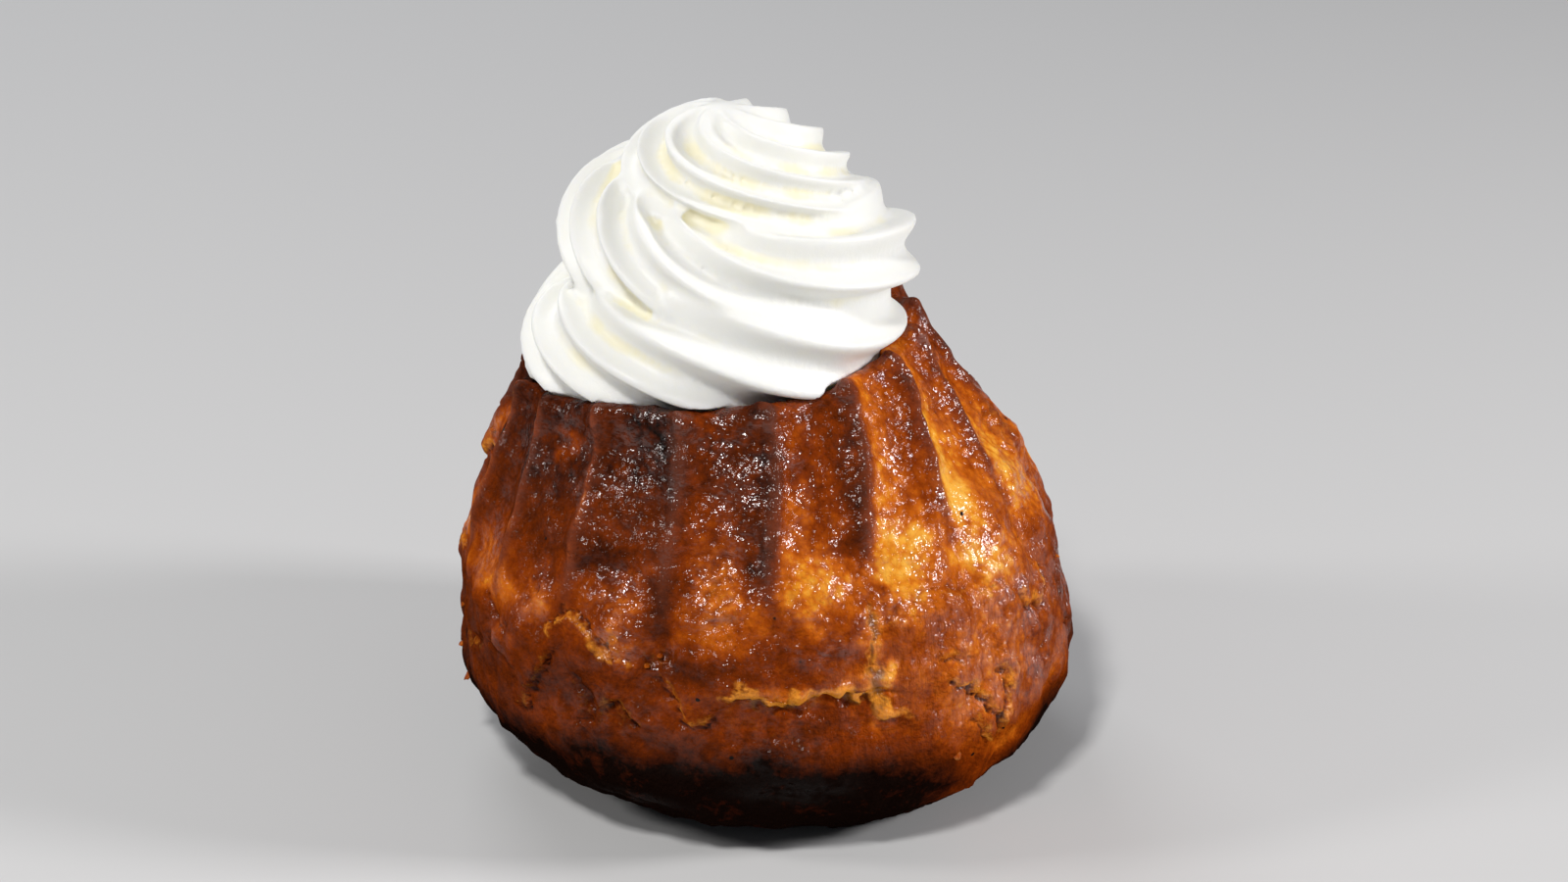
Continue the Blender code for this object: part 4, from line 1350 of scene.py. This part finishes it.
@dataclass
class Cream:
    """The cream: one star-shaped rope, piped clockwise in a rising coil round a filled core.

    A station of the coil gives the travel in degrees, and in millimetres the coil's radius, its
    height, the rope's radius and how far the coil's middle lies to +X. A core gives, in millimetres,
    how far it lies to +X, the height of its middle, its radius and half its height.
    """

    teeth: int = 8
    tooth_depth: float = 2.6 * MM
    tooth_round: float = 0.18
    tooth_power: float = 1.8
    full_teeth: float = 6.0 * MM
    coil_start: float = 60.0
    twist_rate: float = 1.35
    twist_swing: float = 51.5
    twist_lag: float = 70.0
    twist_start: float = -9.0
    start_round: float = 30.0
    tip_round: float = 60.0
    grid: tuple[int, int] = (96, 620)
    coil: Table = (
        (-55.0, 13.0, 56.0, 5.5, -5.4), (0.0, 14.2, 57.2, 7.4, -5.4), (55.0, 14.8, 58.0, 7.7, -5.4),
        (100.0, 16.1, 57.2, 8.6, -5.4), (150.0, 15.4, 58.0, 9.2, -5.4), (200.0, 15.8, 56.0, 8.8, -5.4),
        (245.0, 15.3, 53.8, 8.2, -5.4), (330.0, 14.0, 60.5, 7.6, -5.0), (420.0, 15.2, 65.0, 8.2, -4.0),
        (510.0, 13.8, 65.5, 7.6, -3.5), (600.0, 13.0, 68.0, 8.0, -3.5), (690.0, 10.6, 69.0, 7.4, -3.3),
        (780.0, 8.2, 68.5, 6.0, -2.6))
    knob_radius: float = 15.3 * MM
    knob_middle: float = 71.0 * MM
    knob_up: float = 11.9 * MM
    knob_down: float = 16.0 * MM
    knob_x: float = -1.7 * MM
    knob_lean: float = -0.25
    knob_teeth: int = 8
    knob_depth: float = 2.7 * MM
    knob_swirl: float = 170.0
    knob_curl: float = 1.6
    knob_tip: float = 0.22
    knob_grid: tuple[int, int] = (300, 200)
    core_grid: tuple[int, int] = (48, 24)
    seat_grid: tuple[int, int] = (170, 72)
    cores: Table = ((-5.4, 64.0, 15.0, 16.0), (3.0, 69.0, 11.0, 6.5))
    voxel: float = 0.34 * MM
    weld: float = 0.40 * MM
    gap: float = 0.3 * MM
    smoothing: int = 4
    crease_smoothing: int = 30
    crease_depth: float = 0.25 * MM

    def coil_place(self, travel: float) -> tuple[Array, float]:
        """Middle of the rope and its radius.

        Args:
            travel: Clockwise travel from the start, in degrees.

        Returns:
            The place and the radius, in metres.
        """
        coil_radius, height, rope_radius, centre = track(self.coil, travel) * MM
        azimuth = math.radians(self.coil_start - travel)
        middle = np.array((centre + coil_radius * math.cos(azimuth) - CENTRE_X,
                           coil_radius * math.sin(azimuth) - CENTRE_Y, height))
        return middle, rope_radius

    def star(self, angle: Array, travel: Array) -> Array:
        """0 on the crest of a tooth and 1 in the middle of the groove beside it.

        Args:
            angle: Place round the rope, in degrees.
            travel: Place along it, in degrees.

        Returns:
            The share.
        """
        twist = (self.twist_rate * travel - self.twist_swing * np.sin(np.radians(travel - self.twist_lag))
                 + self.twist_start)
        return self.blunt_star(2.0 * from_nearest(angle - twist, self.teeth))

    def blunt_star(self, from_crest: Array) -> Array:
        """Depth across half a tooth, from its crest to the groove's middle."""
        blunt = np.sqrt(from_crest ** 2 + self.tooth_round ** 2) - self.tooth_round
        blunt = blunt / (math.sqrt(1.0 + self.tooth_round ** 2) - self.tooth_round)
        return 1.0 - (1.0 - np.minimum(blunt, 1.0)) ** self.tooth_power

    def round_end(self, distance: float, length: float) -> float:
        """Share of the full thickness near a rounded end, from 0 at the end to 1 at the length."""
        inward = min(max(distance / length, 0.0), 1.0)
        return math.sqrt(1.0 - (1.0 - inward) ** 2)

    def rope(self) -> bmesh.types.BMesh:
        """Model the rope.

        Returns:
            Its mesh, a ball drawn out along the coil.
        """
        columns, rows = self.grid
        mesh, column, row = ball_grid(columns, rows)
        start, end = self.coil[0][0], self.coil[-1][0]
        frames = []
        for travel in np.linspace(start, end, rows + 1):
            middle, radius = self.coil_place(travel)
            along = self.coil_place(travel + 1.0)[0] - self.coil_place(travel - 1.0)[0]
            along = Vector(along).normalized()
            azimuth = math.radians(self.coil_start - travel)
            outward = Vector((math.cos(azimuth), math.sin(azimuth), 0.0))
            outward = (outward - along * outward.dot(along)).normalized()
            upward = along.cross(outward)
            ends = self.round_end(end - travel, self.tip_round) * self.round_end(
                travel - start, self.start_round)
            frames.append((*middle, *outward, *upward, radius, ends, travel))
        table = np.array(frames)[row.astype(int)]
        middle, outward, upward = table[:, 0:3], table[:, 3:6], table[:, 6:9]
        radius, ends, travel = table[:, 9], table[:, 10], table[:, 11]
        angle = column * TURN / columns
        full = np.minimum(1.0, radius / self.full_teeth)
        reach = radius - self.tooth_depth * self.star(angle, travel) * full
        turn = np.radians(angle)[:, None]
        out = outward * np.cos(turn) + upward * np.sin(turn)
        put_vertices(mesh, middle + out * (reach * ends)[:, None])
        return mesh

    def knob(self) -> bmesh.types.BMesh:
        """Model the rope's last turn, whose ridges wind down from the tip.

        Returns:
            Its mesh, a ball with a star-shaped plan that swirls.
        """
        columns, rows = self.knob_grid
        mesh, column, row = ball_grid(columns, rows)
        azimuth = column * TURN / columns
        lift = row * math.pi / rows
        fallen = 1.0 - row / rows
        swirl = self.knob_swirl * (2.0 * fallen) ** self.knob_curl
        star = self.blunt_star(2.0 * from_nearest(azimuth - swirl, self.knob_teeth))
        depth = self.knob_depth * smooth_step(0.0, self.knob_tip, fallen) * star
        half = np.where(row * 2 > rows, self.knob_up, self.knob_down)
        out = np.stack((np.sin(lift) * np.cos(np.radians(azimuth)),
                        np.sin(lift) * np.sin(np.radians(azimuth)), -np.cos(lift)), axis=1)
        wide = np.full(len(out), self.knob_radius)
        places = out * (np.stack((wide, wide, half), axis=1) - depth[:, None])
        places[:, 0] += self.knob_x + self.knob_lean * places[:, 2] - CENTRE_X
        places[:, 1] -= CENTRE_Y
        places[:, 2] += self.knob_middle
        put_vertices(mesh, places)
        return mesh

    def core(self, side: float, middle: float, radius: float, half_height: float) -> bmesh.types.BMesh:
        """Model an upright egg that fills the coil's hollow.

        Args:
            side: How far it lies to +X, in millimetres as the others.
            middle: Height of its middle.
            radius: Its largest radius.
            half_height: Half its height.

        Returns:
            Its mesh.
        """
        columns, rows = self.core_grid
        mesh, column, row = ball_grid(columns, rows)
        turn, lift = column * 2.0 * math.pi / columns, row * math.pi / rows
        places = np.stack((side + radius * np.sin(lift) * np.cos(turn),
                           radius * np.sin(lift) * np.sin(turn),
                           middle - half_height * np.cos(lift)), axis=1)
        put_vertices(mesh, places * MM - np.array((CENTRE_X, CENTRE_Y, 0.0)))
        return mesh

    def seat_cutter(self, form: CakeForm) -> bpy.types.Object:
        """Model the cake grown by the gap, which the cream is cut by.

        Args:
            form: The cake's form.

        Returns:
            The cutter.
        """
        columns, rows = self.seat_grid
        mesh, column, row = ball_grid(columns, rows)
        points = form.points(column * TURN / columns, row / rows)
        put_vertices(mesh, points + put_vertices(mesh, points) * self.gap)
        return make_object(mesh, "seat_cutter")

    def build(self, form: CakeForm) -> bpy.types.Object:
        """Model the cream.

        Args:
            form: Form of the cake it sits on.

        Returns:
            The cream, with the crease value on its vertices.
        """
        mesh = self.rope()
        for extra in (self.knob(), *(self.core(*core) for core in self.cores)):
            data = bpy.data.meshes.new("extra")
            extra.to_mesh(data)
            extra.free()
            mesh.from_mesh(data)
        cream = make_object(mesh, "cream_swirl")
        for step in (self.weld, -self.weld):
            fuse = cream.modifiers.new("fuse", 'REMESH')
            fuse.mode = 'VOXEL'
            fuse.voxel_size = self.voxel
            swell = cream.modifiers.new("swell", 'DISPLACE')
            swell.mid_level = 0.0
            swell.strength = step
        settle(cream)
        cutter = self.seat_cutter(form)
        cut = cream.modifiers.new("seat", 'BOOLEAN')
        cut.operation = 'DIFFERENCE'
        cut.solver = 'MANIFOLD'
        cut.object = cutter
        settle(cream)
        bpy.data.objects.remove(cutter, do_unlink=True)
        return self.smooth(cream)

    def smooth(self, cream: bpy.types.Object) -> bpy.types.Object:
        """Take the grid's steps off the cream and find its creases.

        Args:
            cream: The cut cream, which is removed.

        Returns:
            The finished cream.
        """
        mesh = bmesh.new()
        mesh.from_mesh(cream.data)
        bpy.data.objects.remove(cream, do_unlink=True)
        self.keep_largest(mesh)
        kept = soften(mesh, self.smoothing)
        normals = normals_of(mesh)
        softened = soften(mesh, self.crease_smoothing)
        crease = np.einsum("ij,ij->i", softened - kept, normals) / self.crease_depth
        put_vertices(mesh, kept)
        return make_object(mesh, "piped_cream", {"crease": np.clip(crease, 0.0, 1.5)})

    @staticmethod
    def keep_largest(mesh: bmesh.types.BMesh) -> None:
        """Drop every loose scrap beside the largest connected piece."""
        waiting = set(mesh.verts)
        pieces = []
        while waiting:
            open_ends = [waiting.pop()]
            piece = set(open_ends)
            while open_ends:
                vertex = open_ends.pop()
                for edge in vertex.link_edges:
                    other = edge.other_vert(vertex)
                    if other in waiting:
                        waiting.remove(other)
                        piece.add(other)
                        open_ends.append(other)
            pieces.append(piece)
        pieces.sort(key=len)
        scraps = [vertex for piece in pieces[:-1] for vertex in piece]
        bmesh.ops.delete(mesh, geom=scraps, context='VERTS')

    def dress(self, shape: bpy.types.Object, material: bpy.types.Material) -> None:
        """Give the cream its finish and put it on the body.

        Args:
            shape: The cream.
            material: Its finish.
        """
        shape.data.materials.append(material)
        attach(shape, BODY)
        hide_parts("whipped_cream")


# --- the studio ---------------------------------------------------------------------------------

@dataclass(frozen=True)
class Lamp:
    """A soft rectangular lamp that points at the cake."""

    name: str
    place: Triple
    size: float
    power: float
    colour: Colour = (1.0, 1.0, 1.0)


@dataclass
class Studio:
    """Floor, lamps and camera."""

    floor_size: float = 2.4
    lens: float = 85.0
    distance: float = 0.45
    elevation: float = 23.0
    film_width: float = 36.0
    nearest: float = 0.01
    aim: Triple = (2.7 * MM, 0.0, 40.0 * MM)
    sky: Colour = (0.90, 0.93, 1.0)
    sky_strength: float = 0.10
    lamps: tuple[Lamp, ...] = (
        Lamp("key", (-0.16, -0.46, 0.68), 0.10, 3.7, (1.0, 0.985, 0.97)),
        Lamp("right", (0.63, -0.10, 0.30), 0.12, 3.1, (1.0, 0.98, 0.98)),
        Lamp("left", (-0.62, -0.12, 0.40), 0.12, 1.4, (1.0, 0.98, 0.96)),
        Lamp("back", (-0.25, 0.60, 0.50), 0.40, 1.5, (0.95, 0.97, 1.0)))

    def target(self) -> Vector:
        """The point that the camera looks at."""
        return Vector((self.aim[0] - CENTRE_X, self.aim[1] - CENTRE_Y, self.aim[2]))

    def floor(self) -> None:
        """Lay the floor."""
        mesh = bmesh.new()
        bmesh.ops.create_grid(mesh, x_segments=1, y_segments=1, size=0.5 * self.floor_size)
        floor = make_object(mesh, "floor")
        floor.data.materials.append(PaleFloor().material())

    def light(self) -> None:
        """Hang the lamps and set the even light of the room."""
        world = bpy.data.worlds.new("room")
        world.use_nodes = True
        background = world.node_tree.nodes["Background"]
        background.inputs["Color"].default_value = (*self.sky, 1.0)
        background.inputs["Strength"].default_value = self.sky_strength
        bpy.context.scene.world = world
        for lamp in self.lamps:
            data = bpy.data.lights.new(lamp.name, 'AREA')
            data.size = lamp.size
            data.energy = lamp.power
            data.color = lamp.colour
            shape = bpy.data.objects.new(lamp.name, data)
            shape.location = lamp.place
            aim = self.target() - Vector(lamp.place)
            shape.rotation_euler = aim.to_track_quat('-Z', 'Y').to_euler()
            bpy.context.scene.collection.objects.link(shape)

    def camera(self) -> None:
        """Place the camera as in the picture."""
        data = bpy.data.cameras.new("camera")
        data.lens = self.lens
        data.sensor_width = self.film_width
        data.clip_start = self.nearest
        lift = math.radians(self.elevation)
        shape = bpy.data.objects.new("camera", data)
        shape.location = self.target() + self.distance * Vector((0.0, -math.cos(lift), math.sin(lift)))
        shape.rotation_euler = (0.5 * math.pi - lift, 0.0, 0.0)
        bpy.context.scene.collection.objects.link(shape)
        bpy.context.scene.camera = shape


def main() -> None:
    """Build the baba and the studio in order."""
    logging.basicConfig(level=logging.INFO, format="%(name)s: %(message)s")
    studio = Studio()
    studio.camera()
    studio.light()
    studio.floor()
    crust, white = SoakedCrust().material(), WhippedCream().material()
    cake, cream = Cake(), Cream()
    for shape in (cake.build(), cake.build_flakes()):
        cake.dress(shape, crust)
        LOG.info("%s: %d faces", shape.name, len(shape.data.polygons))
    swirl = cream.build(cake.form)
    cream.dress(swirl, white)
    LOG.info("%s: %d faces", swirl.name, len(swirl.data.polygons))
    bpy.context.scene.view_settings.view_transform = 'Standard'


if __name__ == "__main__":
    main()
